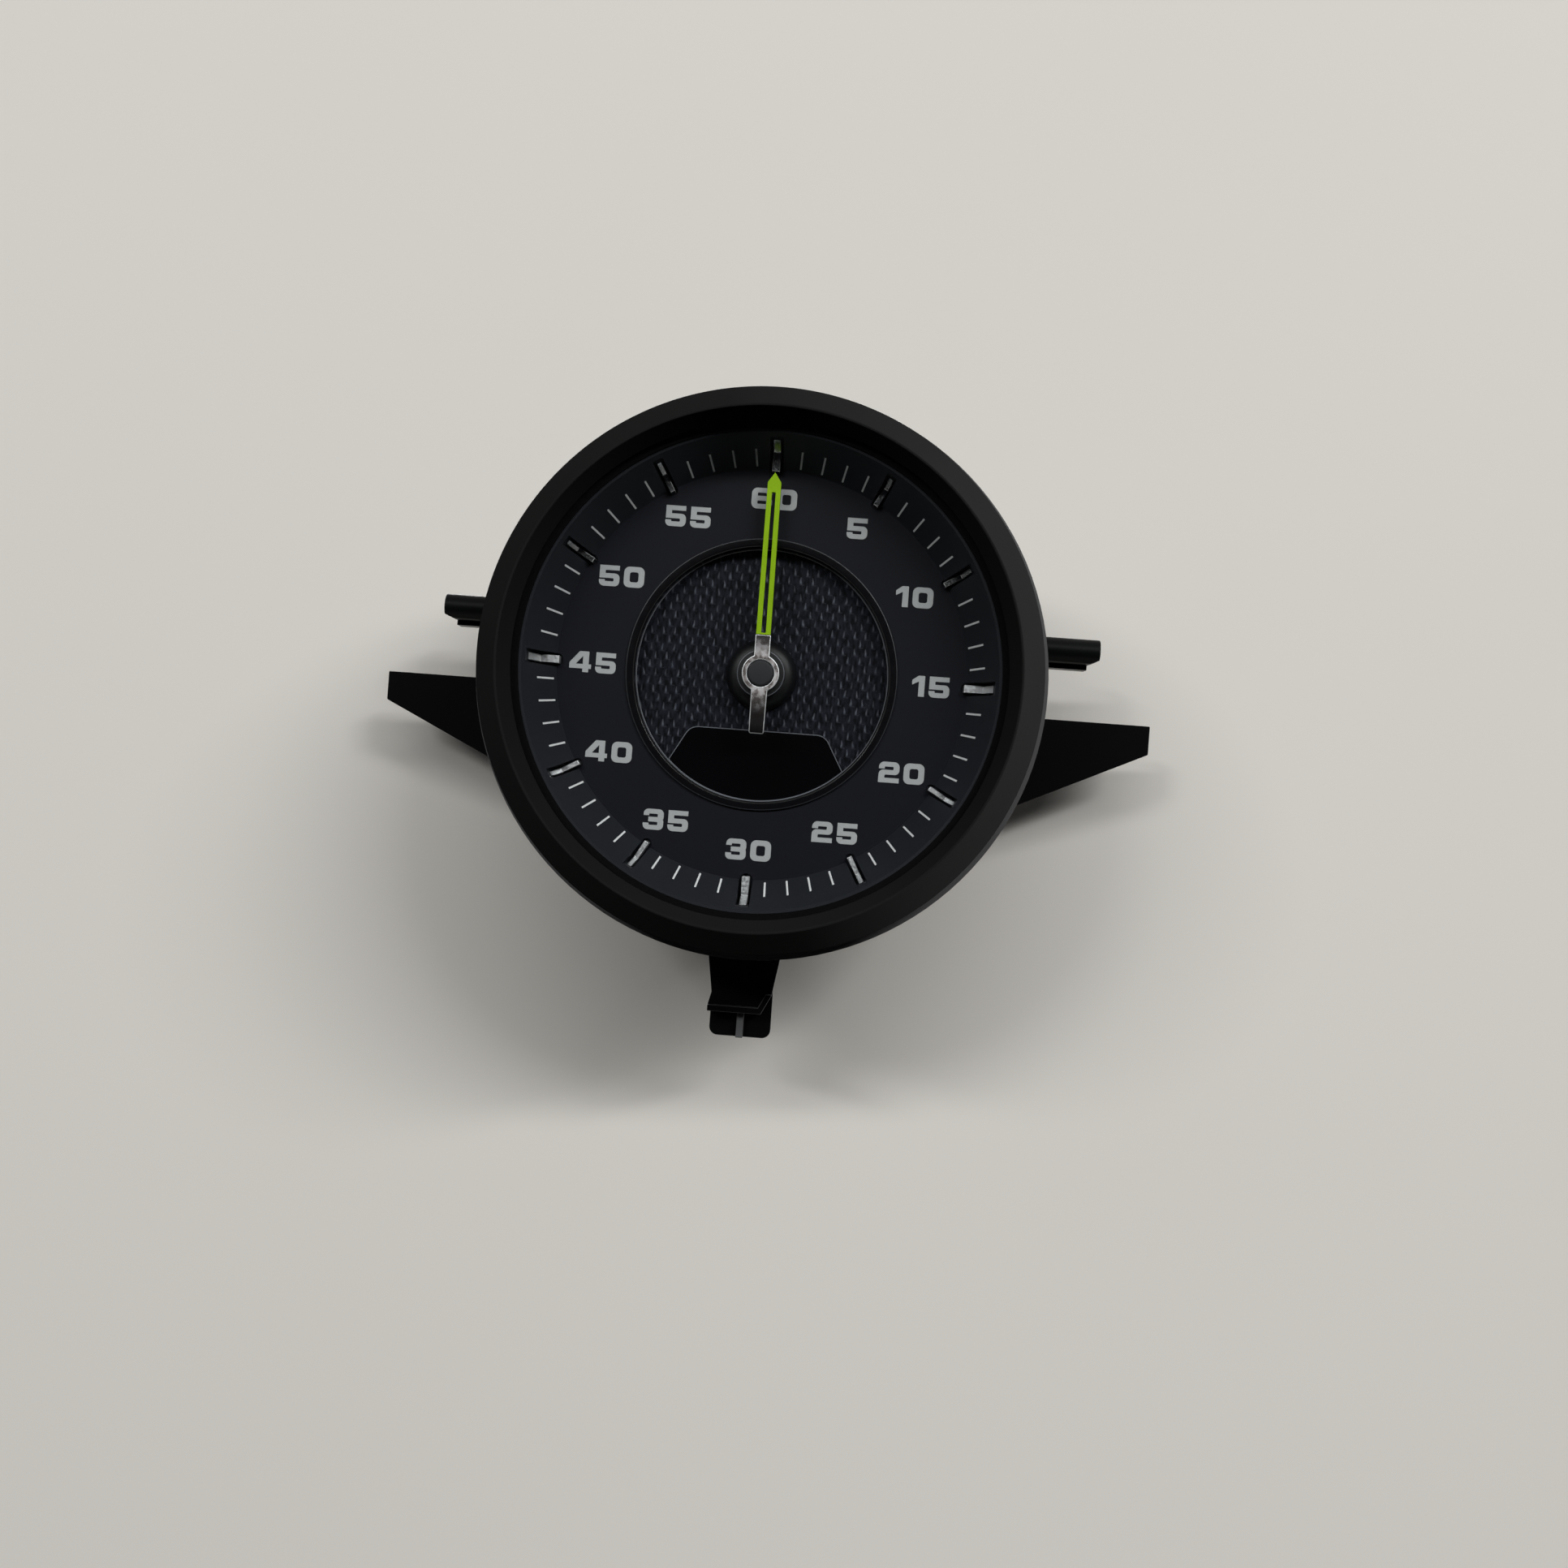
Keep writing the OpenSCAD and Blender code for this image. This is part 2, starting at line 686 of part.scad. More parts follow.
// Release latch: a waisted plate on a pivot bead, with a raised rim and a finger tab
module release_latch() {
    waist = latch_half - latch_waist;
    waist_y = latch_rim - waist_rise;
    root = latch_half + latch_flare;
    tab_root = (latch_top + latch_rim) / 2;
    flare_y = latch_rim - rim_w;
    corner_x = waist - rim_cut / 2;
    corner_y = latch_rim - rim_cut;
    tab_half = latch_half - tab_inset;
    tab_t = latch_t;
    color("#202122") upright() {
        translate([0, -pivot_y, pivot_z]) rotate([0, 90, 0])
            cylinder(d = bead_d, h = latch_w, center = true);
        translate([-latch_half, -latch_top - past, pivot_z - latch_neck / 2])
            cube([latch_w, latch_top + past - pivot_y, latch_neck]);
        translate([0, 0, latch_z - latch_t]) linear_extrude(latch_t) polygon([
            [-root, -latch_top], [-waist, -waist_y], [-latch_half, -flare_y],
            [-latch_half, -latch_rim], [corner_x, -latch_rim], [waist, -corner_y],
            [root, -latch_top]
        ]);
        translate([0, 0, latch_z - latch_t]) linear_extrude(latch_t + rim_h) polygon([
            [-latch_half, -flare_y], [-latch_half, -latch_rim], [corner_x, -latch_rim],
            [waist, -corner_y], [waist - rim_w, -corner_y], [corner_x - rim_w / 2, -flare_y]
        ]);
        translate([0, 0, latch_z - latch_t - tab_t]) linear_extrude(tab_t) {
            square_x = tab_half - tab_corner;
            end_y = latch_reach - tab_corner;
            polygon(concat(
                [[-tab_half, -tab_root]],
                arc([-square_x, -end_y], tab_corner, tab_corner, 180, 270),
                arc([square_x, -end_y], tab_corner, tab_corner, 270, 360),
                [[tab_half, -tab_root]]
            ));
        }
        translate([-rib_w / 2, -latch_reach, latch_z - latch_t - tab_t])
            cube([rib_w, latch_reach - latch_rim + rim_w / 2, tab_t + latch_t / 2]);
    }
}

// Circuit board, on four posts in the rear can
module circuit_board() {
    color("#1f5a3a") upright() difference() {
        washer(board_r, 0, board_z, board_top);
        ring_of(board_screw_count, post_r, 45) translate([0, 0, board_z - past])
            cylinder(d = board_screw_d + 2 * screw_gap, h = board_t + 2 * past);
        pin_places() translate([0, 0, board_z - past])
            cylinder(d = pin_d + 2 * run_gap, h = board_t + 2 * past);
    }
}

// Screws that hold the board to its posts
module board_screws() {
    color("#9a9ca0") upright() ring_of(board_screw_count, post_r, 45)
        translate([0, 0, board_top]) mirror([0, 0, 1])
            screw(board_screw_d, board_screw_head, board_t + board_screw_grip - fit_gap);
}

// Controller and regulator chips, one on each side of the movement
module board_chips() {
    edge = motor_w / 2 + chip_gap;
    color("#17181a") upright() translate([0, 0, board_top]) linear_extrude(chip_h) {
        translate([-edge - chip_w, -chip_w / 2]) square(chip_w);
        translate([edge, -regulator_l / 2]) square([regulator_w, regulator_l]);
    }
}

// Backlight lamps round the board
module backlight_leds() {
    color("#f2efe0") upright() ring_of(led_count, led_r, 180 / led_count)
        translate([-led_l / 2, -led_w / 2, board_top]) cube([led_l, led_w, led_h]);
}

// Copies the children at every pin of the connector
module pin_places() {
    for (row = [-pin_pitch / 2, pin_pitch / 2])
        for (i = [0:pin_count - 1])
            translate([(i - (pin_count - 1) / 2) * pin_pitch, row - plug_drop, 0])
                children();
}

// Connector shroud behind the board, open to the rear
module connector_header() {
    color("#2a2b2d") upright() difference() {
        translate([-plug_w / 2, -plug_drop - plug_h / 2, plug_inset])
            cube([plug_w, plug_h, board_z - plug_inset]);
        translate([plug_wall - plug_w / 2, plug_wall - plug_drop - plug_h / 2, plug_inset - past])
            cube([plug_w - 2 * plug_wall, plug_h - 2 * plug_wall, web_z - plug_inset + past]);
        pin_places() translate([0, 0, web_z - past])
            cylinder(d = pin_d + 2 * run_gap, h = plug_web + 2 * past);
    }
}

// Connector pins, from the shroud through the board
module connector_pins() {
    color("#c9b26a") upright() pin_places()
        translate([0, 0, pin_tip]) cylinder(d = pin_d, h = board_top + past - pin_tip);
}

// Outline of the movement's case, drawn in by a gap all round
module motor_outline(gap) {
    translate([gap - motor_w / 2, gap - motor_low])
        square([motor_w - 2 * gap, motor_low + motor_high - 2 * gap]);
}

// Copies the children at the movement's two arbors
module arbor_places() {
    for (y = [gear_gap, rotor_y]) translate([0, y, 0]) children();
}

// Lower half of the movement's case, with bearings and the stator's posts
module motor_base() {
    color("#d9d6cb") upright() difference() {
        union() {
            translate([0, 0, board_top]) linear_extrude(motor_split - board_top) difference() {
                motor_outline(0);
                motor_outline(motor_wall);
            }
            translate([0, 0, board_top]) linear_extrude(motor_wall) motor_outline(0);
            both_sides() translate([coil_x - core_t, rotor_y, board_top])
                cylinder(r = core_post_r, h = core_z - board_top);
        }
        arbor_places() translate([0, 0, motor_floor - pivot_depth])
            cylinder(r = arbor_r + run_gap, h = pivot_depth + past);
        translate([0, 0, motor_floor - pivot_depth])
            cylinder(r = spindle_r + run_gap, h = pivot_depth + past);
    }
}

// Upper half of the movement's case, with the spindle's bearing
module motor_cover() {
    color("#e4e1d6") upright() difference() {
        union() {
            translate([0, 0, motor_split]) linear_extrude(motor_top - motor_split) difference() {
                motor_outline(0);
                motor_outline(motor_wall);
            }
            translate([0, 0, motor_roof]) linear_extrude(motor_wall) motor_outline(0);
            translate([0, 0, motor_roof]) cylinder(d = bearing_d, h = motor_wall + bearing_l);
        }
        arbor_places() translate([0, 0, motor_roof - past])
            cylinder(r = arbor_r + run_gap, h = pivot_depth + past);
        translate([0, 0, motor_roof - past])
            cylinder(r = spindle_r + run_gap, h = motor_wall + bearing_l + 2 * past);
    }
}

// Stator core: a yoke round the rotor with a leg through each coil
module stator_core() {
    half = coil_x + core_t / 2;
    color("#777a7d") upright() translate([0, 0, core_z]) linear_extrude(core_t) {
        difference() {
            translate([-half, rotor_y - yoke_half]) square([2 * half, 2 * yoke_half]);
            translate([0, rotor_y]) circle(bore_r);
        }
        for (x = [-coil_x, coil_x]) translate([x - core_t / 2, leg_end])
            square([core_t, rotor_y - leg_end]);
    }
}

// Coils wound on the two legs of the stator
module motor_coils() {
    hole = core_t + 2 * run_gap;
    color("#a5602a") upright() both_sides()
        translate([coil_x, coil_start, core_z + core_t / 2]) difference() {
            rotate([-90, 0, 0]) cylinder(d = coil_d, h = coil_l);
            translate([-hole / 2, -past, -hole / 2]) cube([hole, coil_l + 2 * past, hole]);
        }
}

// Arbor from the lower bearing to the upper one
module arbor() {
    low = motor_floor - pivot_depth + run_gap;
    high = motor_roof + pivot_depth - run_gap;
    translate([0, 0, low]) cylinder(r = arbor_r, h = high - low);
}

// Rotor: a bonded magnet and a pinion on one arbor
module motor_rotor() {
    color("#4a4644") upright() translate([0, rotor_y, 0]) {
        arbor();
        translate([0, 0, magnet_z]) cylinder(d = magnet_d, h = magnet_t);
        gear(pinion_teeth, gap_below(pinion_teeth), magnet_z + magnet_t,
             transfer_z + wheel_t + fit_gap - magnet_z - magnet_t);
    }
}

// Intermediate wheel, turned by the rotor, and the pinion that turns the output wheel
module intermediate_wheel() {
    color("#e8e6dc") upright() translate([0, gear_gap, 0]) {
        arbor();
        gear(wheel_teeth, 90, transfer_z, wheel_t);
        gear(pinion_teeth, gap_below(pinion_teeth), output_z - fit_gap,
             transfer_z - output_z + fit_gap);
    }
}

// Output wheel, fixed on the pointer spindle
module output_wheel() {
    color("#e8e6dc") upright() difference() {
        gear(wheel_teeth, 90, output_z, wheel_t);
        translate([0, 0, output_z - past]) cylinder(r = spindle_r, h = wheel_t + 2 * past);
    }
}

// Pointer spindle, from the movement's lower bearing to the pointer's hub
module pointer_spindle() {
    low = motor_floor - pivot_depth + run_gap;
    color("#b9bcc0") upright()
        translate([0, 0, low]) cylinder(r = spindle_r, h = hub_top - low);
}

// Inner frame: a light box on the shoulder, with a deck that carries the dial
module inner_frame() {
    frame_r = tube_in_r - fit_gap;
    color("#e9e9e4") upright() difference() {
        washer(frame_r, 0, shoulder_top, guide_z);
        translate([0, 0, shoulder_top - past])
            cylinder(r = frame_r - frame_wall, h = deck_z - shoulder_top + past);
        ring_of(led_count, led_r, 180 / led_count)
            translate([0, 0, deck_z - past]) cylinder(d = lamp_hole_d, h = deck_t + 2 * past);
        translate([0, 0, deck_z - past]) cylinder(r = pass_r, h = deck_t + 2 * past);
        translate([0, -ribbon_y, deck_z])
            cube([ribbon_w + 2 * fit_gap, ribbon_t + 2 * fit_gap, 4 * deck_t], center = true);
    }
}

// Light guide: a clear plate with a raised ring under the dial plate
module light_guide() {
    inner = trim_r + fit_gap;
    color("#dfe6ea") upright() difference() {
        union() {
            washer(dial_r, pass_r, guide_z, disc_back);
            washer(dial_r, inner, guide_z, dial_back);
        }
        translate([-module_w / 2 - fit_gap, -display_low - fit_gap, guide_z - past])
            cube([module_w + 2 * fit_gap, display_low - module_top + 2 * fit_gap, guide_t + past]);
    }
}

// Display module, in the light guide's opening
module display_module() {
    color("#4d5357") upright()
        translate([-module_w / 2, -display_low, guide_z])
            cube([module_w, display_low - module_top, guide_t]);
}

// Ribbon cable, from the display module to the board
module display_ribbon() {
    color("#c98a3c") upright()
        translate([-ribbon_w / 2, -ribbon_y - ribbon_t / 2, board_top])
            cube([ribbon_w, ribbon_t, guide_z - board_top]);
}

// Display glass, flush with the centre disc
module display_glass() {
    color("#08090b") upright()
        translate([0, 0, disc_back]) linear_extrude(disc_t) intersection() {
            circle(disc_r);
            polygon(display_outline(run_gap));
        }
}

// Centre disc of carbon weave, with the display window cut out of its lower edge
module centre_disc() {
    color("#2f3134") upright()
        translate([0, 0, disc_back]) linear_extrude(disc_t) difference() {
            circle(disc_r);
            circle(spigot_r);
            polygon(display_outline(0));
        }
}

// Trim ring: a sleeve round the centre disc with a bead on the dial plate
module centre_trim_ring() {
    bead_r = trim_r + trim_lap;
    color("#0d0e10") upright() rotate_extrude() polygon(concat(
        [[centre_r, disc_back], [trim_r, disc_back], [trim_r, dial_z]],
        [for (i = [0:arc_steps])
            let (a = 180 * i / arc_steps)
            let (half = (bead_r - centre_r) / 2)
            [centre_r + half + half * cos(a), dial_z + trim_bead * sin(a)]]
    ));
}

// Hub boss: a low dome on the centre disc, round the spindle
module hub_boss() {
    boss_r = boss_d / 2;
    crown = boss_crown / 2;
    color("#141517") upright() rotate_extrude() polygon(concat(
        [[pass_r, disc_back], [spigot_r, disc_back], [spigot_r, disc_z], [boss_r, disc_z]],
        arc([crown, disc_z + boss_side], boss_r - crown, boss_h - boss_side, 0, 90),
        [[pass_r, boss_top]]
    ));
}

// Outline of an index slot, from its round inner end to an outer radius
module index_slot(width, outer) {
    half = width / 2 + slot_gap;
    inner = chapter_in_r - index_reach - slot_gap + half;
    translate([0, inner]) circle(half);
    translate([-half, inner]) square([2 * half, outer - inner]);
}

// Copies the children at the quarters, or at all the other indices
module index_places(quarters) {
    for (i = [0:index_count - 1])
        if ((quarter_count * i % index_count == 0) == quarters)
            rotate([0, 0, -360 * i / index_count]) children();
}

// The slots of all the indices
module index_slots(outer, h) {
    for (quarters = [true, false]) index_places(quarters)
        linear_extrude(h) index_slot(quarters ? quarter_w : index_w, outer);
}

// Index bar: it lies flat on the dial and bends up the chapter ring's slope
module index_bar(width) {
    inner = chapter_in_r - index_reach;
    outer = chapter_r - index_inset;
    rotate([90, 0, 90]) linear_extrude(width, center = true) polygon([
        [inner, dial_z - slot_t], [outer, dial_z - slot_t], [outer, dial_z + index_rise],
        [inner + index_flat, dial_z + index_h], [inner, dial_z + index_h]
    ]);
}

// Dial plate, with a shallow recess under each index
module dial_plate() {
    color("#3b3d42") upright() difference() {
        washer(dial_r, trim_r, dial_back, dial_z);
        translate([0, 0, dial_z - slot_t]) index_slots(dial_r + past, slot_t + past);
    }
}

// Chapter ring: a sloping ring that stands on the flange and holds the lens
module chapter_ring() {
    color("#2c2e33") upright() difference() {
        rotate_extrude() polygon([
            [chapter_in_r, dial_z], [dial_r, dial_z], [dial_r, flange_z], [lens_r, flange_z],
            [lens_r, chapter_top], [chapter_r, chapter_top]
        ]);
        translate([0, 0, dial_z - past])
            index_slots(chapter_r - index_inset + run_gap, chapter_top - dial_z + 2 * past);
    }
}

// Plated indices between the quarters
module hour_indices() {
    color("#c8cbce") upright() index_places(false) index_bar(index_w);
}

// Wider plated indices at the quarters
module quarter_indices() {
    color("#c8cbce") upright() index_places(true) index_bar(quarter_w);
}

// Pointer hub, pressed on the spindle
module pointer_hub() {
    color("#0f1011") upright() washer(hub_d / 2, spindle_r, hub_z, hub_top);
}

// Pointer carrier: a plated ring on the hub, with a neck above and a tail below
module pointer_carrier() {
    color("#c9cccf") upright() translate([0, 0, hub_top]) difference() {
        linear_extrude(arm_t) difference() {
            union() {
                circle(d = ring_d);
                translate([-neck_w / 2, 0]) square([neck_w, hand_root]);
                polygon([
                    [-tail_w / 2, 0], [-tail_end_w / 2, -tail_l + tail_bevel],
                    [tail_bevel - tail_end_w / 2, -tail_l], [tail_end_w / 2 - tail_bevel, -tail_l],
                    [tail_end_w / 2, -tail_l + tail_bevel], [tail_w / 2, 0]
                ]);
            }
            circle(d = cap_d);
        }
        translate([-tongue_w / 2 - run_gap, ring_d / 2, -past])
            cube([tongue_w + 2 * run_gap, hand_root, past + tongue_t + run_gap]);
        rotate([90, 0, 90]) linear_extrude(2 * tail_w, center = true) polygon([
            [tail_slope_l - tail_l, arm_t], [-tail_l - past, arm_t + past],
            [-tail_l - past, arm_t - tail_slope_h]
        ]);
    }
}

// Pointer blade: a slotted, coloured hand with a tongue under the carrier's neck
module pointer_hand() {
    tip_y = hand_l - hand_tip_l;
    slot_low = hand_root + slot_margin;
    slot_high = tip_y - slot_tip_margin;
    color("#b7e01c") upright() translate([0, 0, hub_top]) {
        linear_extrude(arm_t + blade_proud) difference() {
            polygon([
                [-hand_w / 2, hand_root], [hand_w / 2, hand_root], [hand_tip_w / 2, tip_y],
                [0, hand_l], [-hand_tip_w / 2, tip_y]
            ]);
            polygon([
                [-slot_w / 2, slot_low], [slot_w / 2, slot_low],
                [slot_tip_w / 2, slot_high], [-slot_tip_w / 2, slot_high]
            ]);
        }
        translate([-tongue_w / 2, ring_d / 2, 0])
            cube([tongue_w, hand_root + slot_margin / 2 - ring_d / 2, tongue_t]);
    }
}

// Cap in the carrier's ring
module pointer_cap() {
    cap_r = cap_d / 2 - run_gap;
    shoulder = cap_r - cap_round;
    color("#4a4c4e") upright() rotate_extrude() polygon(concat(
        [[0, hub_top], [cap_r, hub_top]],
        arc([shoulder, arm_top], cap_round, cap_proud, 0, 90),
        [[0, cap_top]]
    ));
}

// Gasket between the chapter ring and the lens
module lens_gasket() {
    color("#111214") upright() washer(lens_r, chapter_r + gasket_inset, chapter_top, lens_z);
}

// Flat clear lens
module lens() {
    color("#dfe8ee", 0.25) upright() washer(lens_r, 0, lens_z, lens_top);
}

// Bezel: a rounded lip on the flange that holds the lens down
module bezel_ring() {
    slope_r = crest_r + crest_land;
    edge_r = bezel_r - lip_edge_r;
    // The edge's centre lies where its radius touches both the slope and the wall
    edge_z = depth - (lip_edge_r + sin(lip_slope) * (edge_r - slope_r)) / cos(lip_slope);
    color("#2e2f30") upright() difference() {
        rotate_extrude() polygon(concat(
            [[bezel_in_r, flange_z], [bezel_r, flange_z]],
            arc([edge_r, edge_z], lip_edge_r, lip_edge_r, 0, 90 - lip_slope),
            [[slope_r, depth], [crest_r, depth], [window_r, lens_top], [bezel_in_r, lens_top]]
        ));
        ring_of(bezel_screw_count, bezel_screw_r)
            translate([0, 0, flange_z - past])
                cylinder(d = bezel_screw_d, h = bezel_screw_grip + past);
    }
}

// Screws through the flange into the bezel
module bezel_screws() {
    color("#9a9ca0") upright() ring_of(bezel_screw_count, bezel_screw_r)
        translate([0, 0, flange_z - flange_t])
            flat_screw(bezel_screw_d, bezel_screw_head, flange_t + bezel_screw_grip - fit_gap);
}

rear_housing();
mounting_bracket();
bracket_screws();
release_latch();
circuit_board();
board_screws();
board_chips();
backlight_leds();
connector_header();
connector_pins();
motor_base();
motor_cover();
stator_core();
motor_coils();
motor_rotor();
intermediate_wheel();
output_wheel();
pointer_spindle();
inner_frame();
light_guide();
display_module();
display_ribbon();
display_glass();
dial_plate();
centre_disc();
centre_trim_ring();
hub_boss();
chapter_ring();
hour_indices();
quarter_indices();
pointer_hub();
pointer_carrier();
pointer_hand();
pointer_cap();
lens_gasket();
lens();
bezel_ring();
bezel_screws();
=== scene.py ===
import math

import bmesh
import bpy
from mathutils import Matrix, Vector


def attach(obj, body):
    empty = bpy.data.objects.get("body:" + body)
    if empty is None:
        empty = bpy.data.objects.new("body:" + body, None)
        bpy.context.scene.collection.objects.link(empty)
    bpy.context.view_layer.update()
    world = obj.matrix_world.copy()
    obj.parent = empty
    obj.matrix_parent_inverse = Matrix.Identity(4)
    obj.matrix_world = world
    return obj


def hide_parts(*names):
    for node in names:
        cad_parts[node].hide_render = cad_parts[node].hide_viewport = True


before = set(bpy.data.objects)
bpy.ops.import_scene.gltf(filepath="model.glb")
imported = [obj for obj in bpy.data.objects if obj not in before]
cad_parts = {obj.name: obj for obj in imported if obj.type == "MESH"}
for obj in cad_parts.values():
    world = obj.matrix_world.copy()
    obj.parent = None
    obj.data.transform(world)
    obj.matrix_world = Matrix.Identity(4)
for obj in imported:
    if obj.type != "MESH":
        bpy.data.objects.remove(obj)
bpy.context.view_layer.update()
scene = bpy.context.scene
scene.view_settings.view_transform = "Standard"


# The table and the light.
# The gauge lies on its back on a pale table and is seen from above, so in its own upright frame
# the table stands behind it. A row of ceiling tubes lights it, and a low light from the right.
TABLE_GREY = "#dad7d1"
TABLE_WARM = "#d6d3cc"
TABLE_HALF = 4.0
TABLE_BEHIND = 0.0003
CLOUDS_PER_METRE = 6.0


def colour(code):
    """An sRGB hex value as linear red, green, blue and alpha."""
    parts = [int(code[i:i + 2], 16) / 255 for i in (1, 3, 5)]
    return [p / 12.92 if p <= 0.04045 else ((p + 0.055) / 1.055) ** 2.4 for p in parts] + [1.0]


def add(tree, kind, inputs, **settings):
    """A shader node with its settings, its numbers and colours, and its links."""
    made = tree.nodes.new("ShaderNode" + kind)
    for name, value in settings.items():
        setattr(made, name, value)
    for name, value in inputs.items():
        if isinstance(value, bpy.types.NodeSocket):
            tree.links.new(value, made.inputs[name])
        else:
            made.inputs[name].default_value = value
    return made


def new_finish(name):
    """An empty material and its node tree."""
    made = bpy.data.materials.new(name)
    made.use_nodes = True
    made.node_tree.nodes.clear()
    return made, made.node_tree


def stage_sheet(name, half, y, finish):
    """An upright square sheet of the stage, with half its side and its place in metres."""
    bm = bmesh.new()
    bmesh.ops.create_grid(bm, x_segments=1, y_segments=1, size=half)
    bmesh.ops.rotate(bm, verts=bm.verts, matrix=Matrix.Rotation(math.radians(90), 3, "X"))
    bmesh.ops.translate(bm, verts=bm.verts, vec=(0, y, 0))
    mesh = bpy.data.meshes.new(name)
    bm.to_mesh(mesh)
    bm.free()
    made = bpy.data.objects.new(name, mesh)
    made.data.materials.append(finish)
    scene.collection.objects.link(made)
    return made


# Painted table top, matt, with a faint cloudiness. Its back lets everything through, so that it
# never hides the gauge's rear, and it stops no lamp and no reflection.
table_paint, tree = new_finish("matt_table_paint")
place = add(tree, "TexCoord", {}).outputs["Object"]
cloud = add(tree, "TexNoise", {"Vector": place, "Scale": CLOUDS_PER_METRE, "Detail": 3.0})
tint = add(tree, "Mix", {0: cloud.outputs[0], 6: colour(TABLE_GREY), 7: colour(TABLE_WARM)},
           data_type="RGBA")
top = add(tree, "BsdfPrincipled", {"Base Color": tint.outputs[2], "Roughness": 0.9,
                                   "Specular IOR Level": 0.1})
clear = add(tree, "BsdfTransparent", {})
side = add(tree, "NewGeometry", {})
path = add(tree, "LightPath", {})
unseen = add(tree, "Math", {0: side.outputs["Backfacing"], 1: path.outputs["Is Shadow Ray"]},
             operation="MAXIMUM")
both = add(tree, "MixShader", {0: unseen.outputs[0], 1: top.outputs[0], 2: clear.outputs[0]})
add(tree, "OutputMaterial", {"Surface": both.outputs[0]})
table_top = stage_sheet("table_top", TABLE_HALF, TABLE_BEHIND, table_paint)
table_top.visible_glossy = False

# A black card behind the camera, as for photographing glass: only reflections see it, so that
# the lens and the black plastics stay clear of the pale room.
CARD_HALF = 0.9
CARD_AWAY = 0.6
card_black, tree = new_finish("black_card")
card = add(tree, "Emission", {"Color": colour("#0c0c0d"), "Strength": 1.0})
add(tree, "OutputMaterial", {"Surface": card.outputs[0]})
black_card = stage_sheet("black_card", CARD_HALF, -CARD_AWAY, card_black)
black_card.visible_camera = False
black_card.visible_diffuse = False
black_card.visible_transmission = False
black_card.visible_shadow = False

# The room is pale to the eye and in reflections, and fills the shadows only weakly.
ROOM_PALE = "#dedbd5"
ROOM_FILL = 0.02
room = bpy.data.worlds.new("pale_room")
room.use_nodes = True
room.node_tree.nodes.clear()
tree = room.node_tree
path = add(tree, "LightPath", {})
seen = add(tree, "Math", {0: path.outputs["Is Camera Ray"], 1: path.outputs["Is Glossy Ray"]},
           operation="MAXIMUM")
seen = add(tree, "Math", {0: seen.outputs[0], 1: path.outputs["Is Transmission Ray"]},
           operation="MAXIMUM")
fill = add(tree, "Background", {"Color": colour("#ffffff"), "Strength": ROOM_FILL})
pale = add(tree, "Background", {"Color": colour(ROOM_PALE), "Strength": 1.0})
mixed = add(tree, "MixShader", {0: seen.outputs[0], 1: fill.outputs[0], 2: pale.outputs[0]})
add(tree, "OutputWorld", {"Surface": mixed.outputs[0]})
scene.world = room

# The tubes' lengths spread the shadows sideways and leave their lower edges crisp. Each has its
# place to the right and upwards, its length in metres and its power in watts.
CEILING = 1.5
TUBE_W = 0.12
for name, tube_x, tube_z, tube_length, power in (
    ("ceiling_tube", 0.2, 0.95, 2.3, 18.3),
    ("right_tube", 1.1, 0.95, 1.1, 17.7),
    ("left_tube", -0.95, 0.72, 0.8, 9.4),
):
    tube = bpy.data.lights.new(name, "AREA")
    tube.shape = "RECTANGLE"
    tube.size, tube.size_y = tube_length, TUBE_W
    tube.energy = power
    tube_object = bpy.data.objects.new(name, tube)
    tube_object.location = (tube_x, -CEILING, tube_z)
    tube_object.rotation_euler = (-tube_object.location).to_track_quat("-Z", "Y").to_euler()
    scene.collection.objects.link(tube_object)

# The low light from the right grazes the bezel's slope and passes over the dial and the table.
# The rear light shows the back of the gauge. Each has its strength, spread and direction.
for name, strength, spread, towards in (
    ("low_light", 5.0, 4, (-0.97, -0.03, -0.22)),
    ("rear_light", 2.0, 30, (0.35, -0.9, -0.3)),
):
    lamp = bpy.data.lights.new(name, "SUN")
    lamp.energy = strength
    lamp.angle = math.radians(spread)
    lamp_object = bpy.data.objects.new(name, lamp)
    lamp_object.rotation_euler = Vector(towards).to_track_quat("-Z", "Y").to_euler()
    scene.collection.objects.link(lamp_object)

# The camera looks straight down on the dial from 0.22 m above its flange, a little to the right
# of its axis and below it, and turned so that the gauge appears rolled clockwise.
FOCAL = 36.0
CAMERA_AT = (0.01013, -0.26224, -0.0152)
camera_data = bpy.data.cameras.new("camera")
camera_data.lens = FOCAL
camera_data.sensor_width = FOCAL
camera = bpy.data.objects.new("camera", camera_data)
swing, roll = math.radians(1.49), math.radians(4.27)
across = Vector((math.cos(swing), math.sin(swing), 0))
ahead = Vector((-math.sin(swing), math.cos(swing), 0))
right = across * math.cos(roll) + Vector((0, 0, math.sin(roll)))
up = Vector((0, 0, math.cos(roll))) - across * math.sin(roll)
turn = Matrix((right, up, -ahead)).transposed().to_4x4()
camera.matrix_world = Matrix.Translation(CAMERA_AT) @ turn
scene.collection.objects.link(camera)
scene.camera = camera


# Rear housing, moulded in black glass-filled nylon, one piece with its flange, its two guide lugs
# and the saddle of the latch. The tool leaves a fine spark-eroded grain and soft edges.
UPRIGHT = Matrix.Rotation(math.radians(90), 4, "X") @ Matrix.Scale(0.001, 4)
SMOOTH_UP_TO = math.radians(32)
FLAT_UP_TO = math.radians(0.5)
WELD = 2e-7


